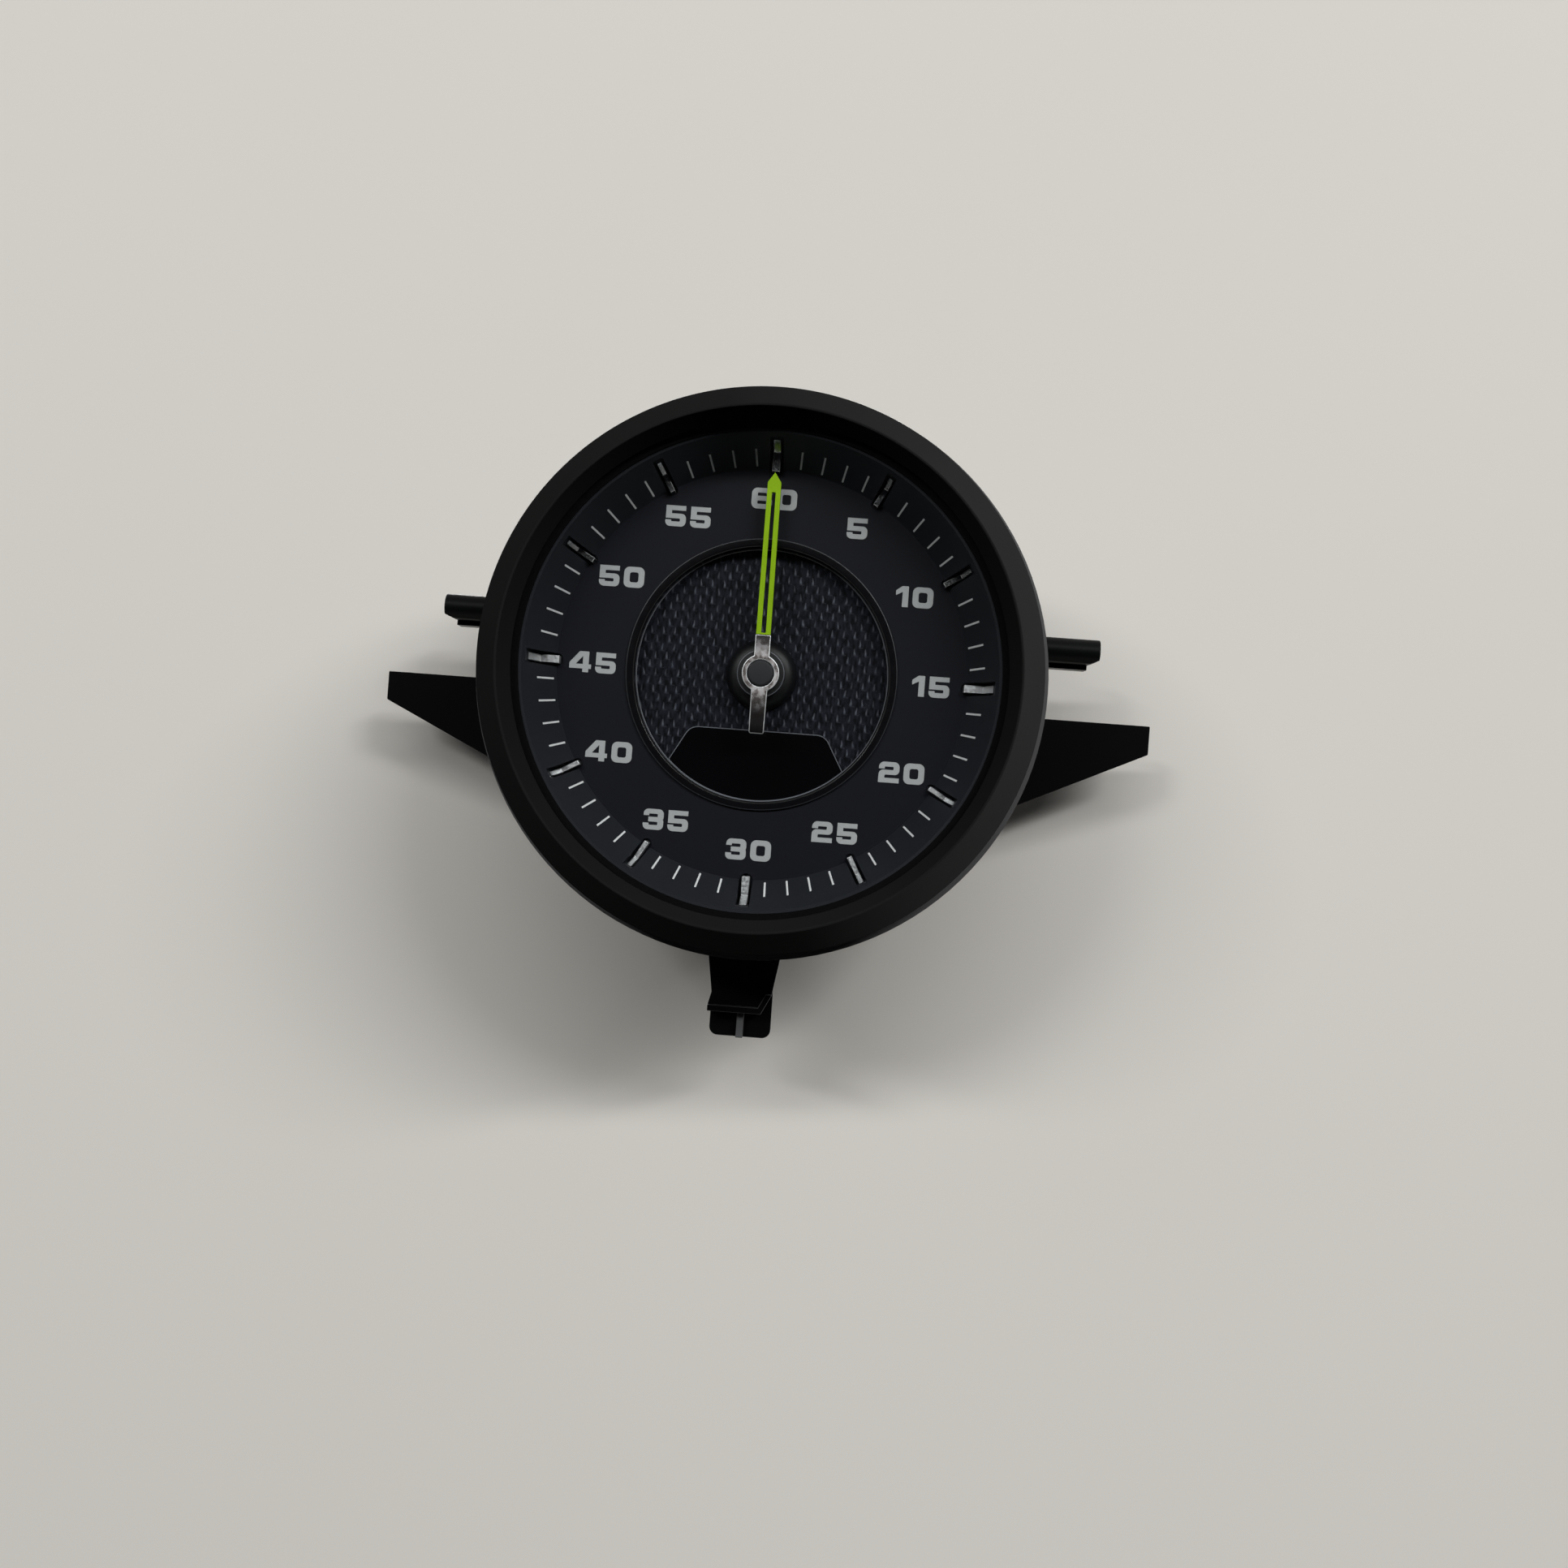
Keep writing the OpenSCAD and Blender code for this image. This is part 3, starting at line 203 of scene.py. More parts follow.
def set_in_place(bm, name, finish, body, stands_for):
    """Makes a piece of a mesh in metres, with its finish, body and the solids it stands for."""
    mesh = bpy.data.meshes.new(name)
    bm.to_mesh(mesh)
    bm.free()
    for face in mesh.polygons:
        face.use_smooth = True
    mesh.set_sharp_from_angle(angle=SMOOTH_UP_TO)
    mesh.materials.append(finish)
    made = bpy.data.objects.new(name, mesh)
    scene.collection.objects.link(made)
    made.modifiers.new("flat_faces_stay_flat", "WEIGHTED_NORMAL").keep_sharp = True
    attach(made, body)
    if stands_for:
        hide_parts(*stands_for)
    return made


def softened(node, radius, steps=2, rim=0):
    """A copy of a solid, in metres, with its sharp edges rounded to a radius in mm.
    rim is the number of the finish that the rounded edges wear."""
    bm = bmesh.new()
    bm.from_mesh(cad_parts[node].data)
    bmesh.ops.remove_doubles(bm, verts=bm.verts, dist=WELD)
    bmesh.ops.dissolve_limit(bm, angle_limit=FLAT_UP_TO, use_dissolve_boundaries=False,
                             verts=bm.verts, edges=bm.edges)
    sharp = [e for e in bm.edges
             if len(e.link_faces) == 2 and e.calc_face_angle() > SMOOTH_UP_TO]
    made = bmesh.ops.bevel(bm, geom=sharp, offset=radius / 1000, offset_type="OFFSET",
                           affect="EDGES", segments=steps, profile=0.5, clamp_overlap=True,
                           material=-1)
    for face in made["faces"]:
        face.material_index = rim
    return bm


FLOW = 14.0
ROUGH_DRIFT = 0.07


def moulded(name, dark, pale, rough, grain, relief, mirror=0.5):
    """A moulded plastic: colour that drifts with the flow, and a grain that breaks up its gloss.
    rough and mirror set that gloss, grain and relief are the grain's width and depth in mm."""
    made, tree = new_finish(name)
    place = add(tree, "TexCoord", {}).outputs["Object"]
    flow = add(tree, "TexNoise", {"Vector": place, "Scale": 1000 / FLOW, "Detail": 3.0})
    pits = add(tree, "TexNoise", {"Vector": place, "Scale": 1000 / grain, "Detail": 2.0})
    tint = add(tree, "Mix", {0: flow.outputs[0], 6: colour(dark), 7: colour(pale)},
               data_type="RGBA")
    sheen = add(tree, "MapRange", {0: pits.outputs[0], 3: rough - ROUGH_DRIFT,
                                   4: rough + ROUGH_DRIFT})
    bump = add(tree, "Bump", {"Height": pits.outputs[0], "Distance": relief / 1000,
                              "Strength": 1.0})
    skin = add(tree, "BsdfPrincipled", {"Base Color": tint.outputs[2], "IOR": 1.5,
                                        "Specular IOR Level": mirror,
                                        "Roughness": sheen.outputs[0],
                                        "Normal": bump.outputs[0]})
    add(tree, "OutputMaterial", {"Surface": skin.outputs[0]})
    return made


def part_finish(piece, finish, chosen):
    """Gives one more finish to the faces in the main finish whose corners all pass a test.
    The test takes a corner's radius, x, y and z in dial mm."""
    piece.data.materials.append(finish)
    spots = [v.co * 1000 for v in piece.data.vertices]
    picked = [chosen(math.hypot(s.x, s.z), s.x, s.z, -s.y) for s in spots]
    for face in piece.data.polygons:
        if face.material_index == 0 and all(picked[v] for v in face.vertices):
            face.material_index = len(piece.data.materials) - 1


# Glass-filled nylon looks near black, with a low sheen that the grain breaks up.
housing_nylon = moulded("black_glass_filled_nylon", "#070808", "#0a0b0c", 0.42, 0.35,
                        0.012, 0.06)
housing = set_in_place(softened("rear_housing", 0.25), "housing", housing_nylon,
                       "gauge", ["rear_housing"])
# The drum and the flange's back keep the satin skin of the tool and mirror the room a little.
# Their base is painted lighter than the front's: painted light for the dimmer back.
DRUM_R = 34.8
FLANGE_BACK_FROM, FLANGE_BACK_TO = 39.5, 40.5
FLANGE_IN = 30.0
satin_nylon_painted_lighter = moulded("satin_black_nylon_painted_lighter", "#131415", "#191a1b", 0.38, 0.35, 0.012, 0.35)
part_finish(housing, satin_nylon_painted_lighter,
            lambda r, x, y, z: z < FLANGE_BACK_TO and (r < DRUM_R or z > FLANGE_BACK_FROM))
# The flange is painted grey where it stands out behind the bezel: a painted sheen for its lit
# edge.
flange_painted_sheen = moulded("grey_nylon_painted_sheen", "#4a4a4b", "#545455", 0.5, 0.35, 0.008, 0.25)
part_finish(housing, flange_painted_sheen, lambda r, x, y, z: z > FLANGE_BACK_TO and r > FLANGE_IN)


# Mounting bracket, a second black moulding screwed behind the shoulder. Its two wings carry the
# gauge in the dashboard. It is duller than the housing, and the screws lie flush in it.
bracket_nylon = moulded("black_matt_nylon", "#050506", "#080809", 0.6, 0.3, 0.012, 0.03)
bracket = set_in_place(softened("mounting_bracket", 0.2), "bracket", bracket_nylon,
                       "gauge", ["mounting_bracket"])
# Its back has the same satin skin as the drum, painted lighter in the same way.
BRACKET_BACK = 11.3
part_finish(bracket, satin_nylon_painted_lighter, lambda r, x, y, z: z < BRACKET_BACK)

# Zinc plate looks pale grey, with a faint spangle in its gloss.
zinc, tree = new_finish("zinc_plated_steel")
place = add(tree, "TexCoord", {}).outputs["Object"]
spangle = add(tree, "TexVoronoi", {"Vector": place, "Scale": 1000 / 0.5})
tint = add(tree, "Mix", {0: spangle.outputs["Distance"], 6: colour("#b9bcbf"),
                         7: colour("#8f9296")}, data_type="RGBA")
dull = add(tree, "MapRange", {0: spangle.outputs["Distance"], 3: 0.26, 4: 0.42})
skin = add(tree, "BsdfPrincipled", {"Base Color": tint.outputs[2], "Metallic": 1.0,
                                    "Roughness": dull.outputs[0]})
add(tree, "OutputMaterial", {"Surface": skin.outputs[0]})


def dress(node, finish):
    """Gives a solid that keeps its own shape its finish."""
    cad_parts[node].data.materials.clear()
    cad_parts[node].data.materials.append(finish)


dress("bracket_screws", zinc)
dress("bezel_screws", zinc)
dress("board_screws", zinc)


# Circuit board, green solder mask over copper tracks on glass-epoxy sheet, with its black chips,
# white lamps and the connector that opens to the rear.
# Solder mask looks glossy green, lighter over the tracks, with bare tin dots.
board_mask, tree = new_finish("green_solder_mask")
place = add(tree, "TexCoord", {}).outputs["Object"]
flat = add(tree, "Mapping", {"Vector": place, "Rotation": (math.radians(90), 0, 0)})
tracks = add(tree, "TexBrick", {"Vector": flat.outputs[0], "Scale": 1000 / 6, "Mortar Size": 0.05,
                                "Mortar Smooth": 0.0, "Color1": colour("#174a30"),
                                "Color2": colour("#1b5537"), "Mortar": colour("#2f7a4c")})
vias = add(tree, "TexVoronoi", {"Vector": place, "Scale": 1000 / 3})
dot = add(tree, "Math", {0: vias.outputs["Distance"], 1: 0.12}, operation="LESS_THAN")
tint = add(tree, "Mix", {0: dot.outputs[0], 6: tracks.outputs["Color"], 7: colour("#b8b09a")},
           data_type="RGBA")
bump = add(tree, "Bump", {"Height": tracks.outputs["Fac"], "Distance": 0.00004})
skin = add(tree, "BsdfPrincipled", {"Base Color": tint.outputs[2], "Roughness": 0.35,
                                    "Normal": bump.outputs[0]})
add(tree, "OutputMaterial", {"Surface": skin.outputs[0]})
dress("circuit_board", board_mask)

# Chip epoxy looks dull and charcoal, with a fine grit.
dress("board_chips", moulded("black_epoxy", "#141516", "#1b1c1d", 0.6, 0.12, 0.006))

# A lamp is a white ceramic cup with a yellow phosphor face.
lamp_ceramic, tree = new_finish("lamp_ceramic_and_phosphor")
place = add(tree, "TexCoord", {}).outputs["Object"]
facing = add(tree, "SeparateXYZ", {"Vector": add(tree, "NewGeometry", {}).outputs["Normal"]})
front = add(tree, "Math", {0: facing.outputs["Y"], 1: -0.7}, operation="LESS_THAN")
grit = add(tree, "TexNoise", {"Vector": place, "Scale": 1000 / 0.3})
glow = add(tree, "Mix", {0: grit.outputs[0], 6: colour("#e0b83a"), 7: colour("#efd062")},
           data_type="RGBA")
tint = add(tree, "Mix", {0: front.outputs[0], 6: colour("#eceae2"), 7: glow.outputs[2]},
           data_type="RGBA")
skin = add(tree, "BsdfPrincipled", {"Base Color": tint.outputs[2], "Roughness": 0.45})
add(tree, "OutputMaterial", {"Surface": skin.outputs[0]})
dress("backlight_leds", lamp_ceramic)

# PBT looks satin, a shade greyer than the housing.
connector_pbt = moulded("black_pbt", "#1b1c1d", "#232425", 0.42, 0.25, 0.006)
set_in_place(softened("connector_header", 0.12), "connector", connector_pbt,
             "gauge", ["connector_header"])

# Drawn brass looks warm yellow and lightly streaked.
pin_brass, tree = new_finish("drawn_brass_pin")
place = add(tree, "TexCoord", {}).outputs["Object"]
draw = add(tree, "TexNoise", {"Vector": place, "Scale": 1000 / 0.4, "Detail": 2.0})
tint = add(tree, "Mix", {0: draw.outputs[0], 6: colour("#b89a4e"), 7: colour("#d9c07a")},
           data_type="RGBA")
skin = add(tree, "BsdfPrincipled", {"Base Color": tint.outputs[2], "Metallic": 1.0,
                                    "Roughness": 0.28})
add(tree, "OutputMaterial", {"Surface": skin.outputs[0]})
dress("connector_pins", pin_brass)


# Stepper movement: two halves of natural acetal round a laminated core, two coils, a bonded
# magnet and a train of acetal wheels that turns the steel spindle.
# Natural acetal looks waxy and off-white.
acetal = moulded("natural_acetal", "#dcd9cf", "#e6e4da", 0.38, 0.4, 0.004)
for node in ("motor_base", "motor_cover", "intermediate_wheel", "output_wheel"):
    dress(node, acetal)

# Core steel looks grey, striped by its stacked sheets. WAVE turns a stripe's width into the
# pattern's scale.
WAVE = 1000 / 6.28
core_steel, tree = new_finish("laminated_core_steel")
place = add(tree, "TexCoord", {}).outputs["Object"]
sheets = add(tree, "TexWave", {"Vector": place, "Scale": WAVE / 0.35, "Distortion": 0.3},
             bands_direction="Y")
tint = add(tree, "Mix", {0: sheets.outputs["Fac"], 6: colour("#5d6064"), 7: colour("#85898d")},
           data_type="RGBA")
skin = add(tree, "BsdfPrincipled", {"Base Color": tint.outputs[2], "Metallic": 1.0,
                                    "Roughness": 0.45})
add(tree, "OutputMaterial", {"Surface": skin.outputs[0]})
dress("stator_core", core_steel)

# The wire is 0.1 mm thick and is drawn at 0.3 mm so that its turns show.
coil_wire, tree = new_finish("enamelled_copper_wire")
place = add(tree, "TexCoord", {}).outputs["Object"]
turns = add(tree, "TexWave", {"Vector": place, "Scale": WAVE / 0.3, "Distortion": 0.4},
            bands_direction="Z")
tint = add(tree, "Mix", {0: turns.outputs["Fac"], 6: colour("#6d3418"), 7: colour("#b9703a")},
           data_type="RGBA")
bump = add(tree, "Bump", {"Height": turns.outputs["Fac"], "Distance": 0.0001})
skin = add(tree, "BsdfPrincipled", {"Base Color": tint.outputs[2], "Metallic": 1.0,
                                    "Roughness": 0.32, "Normal": bump.outputs[0]})
add(tree, "OutputMaterial", {"Surface": skin.outputs[0]})
dress("motor_coils", coil_wire)

# Bonded ferrite looks dull and brown-grey, like cast stone.
dress("motor_rotor", moulded("bonded_ferrite", "#3b3836", "#4a4643", 0.55, 0.15, 0.005))

# Turned steel looks bright, with fine rings left by the lathe.
spindle_steel, tree = new_finish("turned_steel")
place = add(tree, "TexCoord", {}).outputs["Object"]
marks = add(tree, "TexWave", {"Vector": place, "Scale": WAVE / 0.15, "Distortion": 0.6},
            bands_direction="Y")
dull = add(tree, "MapRange", {0: marks.outputs["Fac"], 3: 0.2, 4: 0.34})
skin = add(tree, "BsdfPrincipled", {"Base Color": colour("#b4b7ba"), "Metallic": 1.0,
                                    "Roughness": dull.outputs[0]})
add(tree, "OutputMaterial", {"Surface": skin.outputs[0]})
dress("pointer_spindle", spindle_steel)


# Light box: a white frame on the shoulder, a clear light guide on its deck, and the display
# module with its amber ribbon down to the board.
# White polycarbonate looks bright and even, to throw the lamps' light forward.
dress("inner_frame", moulded("white_polycarbonate", "#e6e6e1", "#efefea", 0.4, 0.4, 0.004))

# The guide's acrylic is clear, with frosted dots that let the light out.
guide_acrylic, tree = new_finish("clear_acrylic_guide")
place = add(tree, "TexCoord", {}).outputs["Object"]
dots = add(tree, "TexVoronoi", {"Vector": place, "Scale": 1000 / 1.2})
haze = add(tree, "MapRange", {0: dots.outputs["Distance"], 1: 0.2, 2: 0.35, 3: 0.5, 4: 0.06})
skin = add(tree, "BsdfPrincipled", {"Base Color": colour("#eef3f4"), "IOR": 1.49,
                                    "Transmission Weight": 1.0,
                                    "Roughness": haze.outputs[0]})
add(tree, "OutputMaterial", {"Surface": skin.outputs[0]})
dress("light_guide", guide_acrylic)

# The liquid crystal cell looks dark grey, with a faint grid of pixels.
cell_glass, tree = new_finish("liquid_crystal_cell")
place = add(tree, "TexCoord", {}).outputs["Object"]
flat = add(tree, "Mapping", {"Vector": place, "Rotation": (math.radians(90), 0, 0)})
pixels = add(tree, "TexBrick", {"Vector": flat.outputs[0], "Scale": 1000 / 0.6,
                                "Mortar Size": 0.06, "Brick Width": 1.0, "Row Height": 1.0,
                                "Color1": colour("#33383b"), "Color2": colour("#3a4043"),
                                "Mortar": colour("#1a1c1e")}, offset=0.0)
skin = add(tree, "BsdfPrincipled", {"Base Color": pixels.outputs["Color"], "Roughness": 0.2})
add(tree, "OutputMaterial", {"Surface": skin.outputs[0]})
dress("display_module", cell_glass)

# Polyimide looks amber, lighter over its copper lines.
ribbon_film, tree = new_finish("polyimide_ribbon")
place = add(tree, "TexCoord", {}).outputs["Object"]
lines = add(tree, "TexWave", {"Vector": place, "Scale": WAVE / 1.0}, bands_direction="X")
edge = add(tree, "Math", {0: lines.outputs["Fac"], 1: 0.5}, operation="GREATER_THAN")
tint = add(tree, "Mix", {0: edge.outputs[0], 6: colour("#b9772c"), 7: colour("#d79a4a")},
           data_type="RGBA")
skin = add(tree, "BsdfPrincipled", {"Base Color": tint.outputs[2], "Roughness": 0.3})
add(tree, "OutputMaterial", {"Surface": skin.outputs[0]})
dress("display_ribbon", ribbon_film)


# Centre disc of carbon weave under a satin lacquer. Upright tows float over dark cross tows in
# offset rows, 1.66 mm apart and 1.2 mm high, so that short grey flecks show. The weave is real;
# the floats' grey is painted sheen.
TOW_PITCH = 1.66
TOW_ROW = 1.2

carbon_weave, tree = new_finish("lacquered_carbon_weave")
place = add(tree, "TexCoord", {}).outputs["Object"]
axes = add(tree, "SeparateXYZ", {"Vector": place})
along = add(tree, "Math", {0: axes.outputs["X"], 1: 1000 / TOW_PITCH}, operation="MULTIPLY")
height = add(tree, "Math", {0: axes.outputs["Z"], 1: 1000 / TOW_ROW}, operation="MULTIPLY")
row = add(tree, "Math", {0: height.outputs[0]}, operation="FLOOR")
shifted = add(tree, "Math", {0: row.outputs[0], 1: 0.5, 2: along.outputs[0]},
              operation="MULTIPLY_ADD")
wander = add(tree, "TexNoise", {"Vector": place, "Scale": 1000 / 2.5, "Detail": 2.0})
shifted = add(tree, "Math", {0: wander.outputs[0], 1: 0.5, 2: shifted.outputs[0]},
              operation="MULTIPLY_ADD")
part_x = add(tree, "Math", {0: shifted.outputs[0]}, operation="FRACT")
part_z = add(tree, "Math", {0: height.outputs[0]}, operation="FRACT")
# A float is a drop: narrow above, widest near its lower end, where it dips under.
off_middle = add(tree, "Math", {0: part_x.outputs[0], 1: 0.5}, operation="SUBTRACT")
off_middle = add(tree, "Math", {0: off_middle.outputs[0]}, operation="ABSOLUTE")
half = add(tree, "MapRange", {0: part_z.outputs[0], 3: 0.16, 4: 0.07})
sideways = add(tree, "Math", {0: off_middle.outputs[0], 1: half.outputs[0]}, operation="DIVIDE")
tow = add(tree, "MapRange", {0: sideways.outputs[0], 1: 0.2, 2: 1.0, 3: 1.0, 4: 0.0},
          interpolation_type="SMOOTHSTEP")
dip = add(tree, "MapRange", {0: part_z.outputs[0], 1: 0.0, 2: 0.35})
fade = add(tree, "MapRange", {0: part_z.outputs[0], 1: 0.4, 2: 1.0, 3: 1.0, 4: 0.3})
length = add(tree, "Math", {0: dip.outputs[0], 1: fade.outputs[0]}, operation="MULTIPLY")
stroke = add(tree, "Math", {0: tow.outputs[0], 1: length.outputs[0]}, operation="MULTIPLY")
# The edge of the cross tow shows as a faint foot to the right of each float.
reach = add(tree, "Math", {0: part_x.outputs[0], 1: 0.66, 2: 0.14}, operation="COMPARE")
band = add(tree, "Math", {0: part_z.outputs[0], 1: 0.1, 2: 0.07}, operation="COMPARE")
foot = add(tree, "Math", {0: reach.outputs[0], 1: band.outputs[0]}, operation="MULTIPLY")
foot = add(tree, "Math", {0: foot.outputs[0], 1: 0.16}, operation="MULTIPLY")
fleck = add(tree, "Math", {0: stroke.outputs[0], 1: foot.outputs[0]}, operation="MAXIMUM")
# Each float's painted sheen is brighter or dimmer at random: painted glints.
column = add(tree, "Math", {0: shifted.outputs[0]}, operation="FLOOR")
cell = add(tree, "CombineXYZ", {"X": column.outputs[0], "Y": row.outputs[0]})
chance = add(tree, "TexWhiteNoise", {"Vector": cell.outputs[0]})
painted_glint = add(tree, "MapRange", {0: chance.outputs[0], 3: 0.35, 4: 1.0})
painted_sheen = add(tree, "Math", {0: fleck.outputs[0], 1: painted_glint.outputs[0]}, operation="MULTIPLY")
upright = add(tree, "Mapping", {"Vector": place, "Scale": (1000 / 0.5, 1000, 1000 / 1.3)})
fibres = add(tree, "TexNoise", {"Vector": upright.outputs[0], "Scale": 1.0, "Detail": 2.0})
under = add(tree, "MapRange", {0: fibres.outputs[0], 1: 0.38, 2: 0.62})
ground = add(tree, "Mix", {0: under.outputs[0], 6: colour("#06070a"), 7: colour("#1b1d25")},
             data_type="RGBA")
tint = add(tree, "Mix", {0: painted_sheen.outputs[0], 6: ground.outputs[2], 7: colour("#53565f")},
           data_type="RGBA")
bump = add(tree, "Bump", {"Height": fleck.outputs[0], "Distance": 0.00006})
skin = add(tree, "BsdfPrincipled", {"Base Color": tint.outputs[2], "Roughness": 0.5,
                                    "Specular IOR Level": 0.06, "Coat Weight": 0.05,
                                    "Coat Roughness": 0.15, "Normal": bump.outputs[0]})
add(tree, "OutputMaterial", {"Surface": skin.outputs[0]})
dress("centre_disc", carbon_weave)


# Display window, a black tinted glass flush in the lower part of the centre disc. It is switched
# off, so nothing shows in it.
# Tinted glass looks deep black, with a faint smear in its gloss.
window_glass, tree = new_finish("black_tinted_glass")
place = add(tree, "TexCoord", {}).outputs["Object"]
smear = add(tree, "TexNoise", {"Vector": place, "Scale": 1000 / 9, "Detail": 2.0})
dull = add(tree, "MapRange", {0: smear.outputs[0], 3: 0.05, 4: 0.12})
tint = add(tree, "Mix", {0: smear.outputs[0], 6: colour("#050506"), 7: colour("#08080a")},
           data_type="RGBA")
skin = add(tree, "BsdfPrincipled", {"Base Color": tint.outputs[2], "Roughness": dull.outputs[0],
                                    "Specular IOR Level": 0.35})
add(tree, "OutputMaterial", {"Surface": skin.outputs[0]})
dress("display_glass", window_glass)

# A fine pale line runs round the window's cut edge: a painted highlight.
LINE_W = 0.13
LINE_UP = 0.03
FRONT_WITHIN = 1e-6
window_highlight_line = bmesh.new()
window_highlight_line.from_mesh(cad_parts["display_glass"].data)
bmesh.ops.remove_doubles(window_highlight_line, verts=window_highlight_line.verts, dist=WELD)
front_y = min(v.co.y for v in window_highlight_line.verts)
bmesh.ops.delete(window_highlight_line, context="FACES",
                 geom=[f for f in window_highlight_line.faces
                       if f.calc_center_median().y > front_y + FRONT_WITHIN])
bmesh.ops.dissolve_limit(window_highlight_line, angle_limit=FLAT_UP_TO, verts=window_highlight_line.verts,
                         edges=window_highlight_line.edges, use_dissolve_boundaries=False)
rim = bmesh.ops.inset_region(window_highlight_line, faces=window_highlight_line.faces[:], thickness=LINE_W / 1000,
                             use_boundary=True, use_even_offset=True)["faces"]
bmesh.ops.delete(window_highlight_line, context="FACES",
                 geom=[f for f in window_highlight_line.faces if f not in rim])
bmesh.ops.translate(window_highlight_line, verts=window_highlight_line.verts, vec=(0, -LINE_UP / 1000, 0))
painted_highlight_edge = moulded("edge_painted_highlight", "#54575c", "#606368", 0.3, 0.5, 0.002, 0.4)
set_in_place(window_highlight_line, "window_highlight_line", painted_highlight_edge, "gauge", [])


# Trim ring round the centre disc and the domed boss under the pointer, both turned-looking
# mouldings in black: the ring polished, the boss satin.
RING_STEPS = 192
SECTION_STEPS = 6
SEAM = 1e-4
DISC_BACK, DISC_FACE = 37.0, 38.0
TRIM_IN, TRIM_OUT, TRIM_TOP = 18.0, 18.95, 40.5
LIP_R, LIP_FOOT = 17.88, 38.04
LIP_WITHIN, LIP_UNDER = 17.995, 38.3
BEAD_R, BEAD_FOOT = 19.25, 40.02
BEAD_EDGE_R, BEAD_EDGE_Z = 19.08, 40.33


def turned(profile, steps=RING_STEPS):
    """A ring in metres from its section: radius, height and corner radius in dial mm."""
    bm = bmesh.new()
    corners = [bm.verts.new((r, 0, z)) for r, z, _ in profile]
    bm.faces.new(corners)
    for corner, (_, _, radius) in zip(corners, profile):
        if radius:
            bmesh.ops.bevel(bm, geom=[corner], offset=radius, offset_type="OFFSET",
                            affect="VERTICES", segments=SECTION_STEPS, profile=0.5,
                            material=-1)
    bmesh.ops.delete(bm, geom=bm.faces[:], context="FACES_ONLY")
    bmesh.ops.spin(bm, geom=bm.verts[:] + bm.edges[:], cent=(0, 0, 0), axis=(0, 0, 1),
                   angle=math.radians(360), steps=steps, use_merge=True)
    bmesh.ops.remove_doubles(bm, verts=bm.verts, dist=SEAM)
    bmesh.ops.recalc_face_normals(bm, faces=bm.faces)
    bmesh.ops.transform(bm, matrix=UPRIGHT, verts=bm.verts)
    return bm


# Polished ABS looks wet and black, with a long soft ripple.
gloss_black = moulded("polished_black_abs", "#0a0a0c", "#0e0e10", 0.16, 1.5, 0.002)
trim_ring = set_in_place(turned([(LIP_R, LIP_FOOT, 0), (LIP_R, 38.12, 0), (17.99, 38.2, 0),
                                 (TRIM_IN, TRIM_TOP, 0.35), (BEAD_R, TRIM_TOP, 0.16),
                                 (BEAD_R, BEAD_FOOT, 0.02), (TRIM_OUT, BEAD_FOOT, 0),
                                 (TRIM_OUT, DISC_BACK, 0), (TRIM_IN, DISC_BACK, 0),
                                 (TRIM_IN, LIP_FOOT, 0)]),
                         "trim_ring", gloss_black, "gauge", ["centre_trim_ring"])
# A fine lip on the disc's edge is painted pale: a painted highlight that shows as a bright line.
part_finish(trim_ring, painted_highlight_edge, lambda r, x, y, z: r < LIP_WITHIN and z < LIP_UNDER)
# The ring's outer edge is painted a dimmer grey: a fainter painted highlight that shows as a dim
# line.
dim_painted_highlight = moulded("edge_dim_painted_highlight", "#26282b", "#2e3033", 0.35, 0.5, 0.002, 0.4)
part_finish(trim_ring, dim_painted_highlight, lambda r, x, y, z: r > BEAD_EDGE_R and z > BEAD_EDGE_Z)

# Satin ABS looks black with a soft highlight.
BOSS_R, BOSS_TOP = 5.05, 40.5
SPIGOT_R, BORE_R = 2.52, 1.6
satin_black = moulded("satin_black_abs", "#08090b", "#0b0c0e", 0.46, 0.25, 0.004, 0.3)
set_in_place(turned([(BORE_R, DISC_BACK, 0), (SPIGOT_R, DISC_BACK, 0), (SPIGOT_R, DISC_FACE, 0),
                     (BOSS_R, DISC_FACE, 0), (BOSS_R, 39.3, 0.8), (3.9, BOSS_TOP, 0.7),
                     (BORE_R, BOSS_TOP, 0.1)]),
             "boss", satin_black, "gauge", ["hub_boss"])


# Dial plate, black-printed polycarbonate with light grey numerals from 5 to 60. The numerals are
# wide squared figures 2.95 mm high, upright at every place, in one coat of ink.
FIGURE_W = 2.92
FIGURE_H = 2.95
BAR = 0.84
LOW, LOW_IN = 0.68, 1.135
HIGH, HIGH_IN = 1.815, 2.27
FIGURE_GAP = 0.6
FIGURE_STEPS = 5
FIGURES_ACROSS, FIGURES_UP = 24.0, 24.9
DIAL_Z = 40.0
INK = 0.02

# Printed polycarbonate looks matt and near black. Its cold cast is a painted reflection.
dial_face = moulded("black_printed_polycarbonate", "#0f1016", "#13141a", 0.55, 0.2, 0.003,
                    0.1)
dress("dial_plate", dial_face)

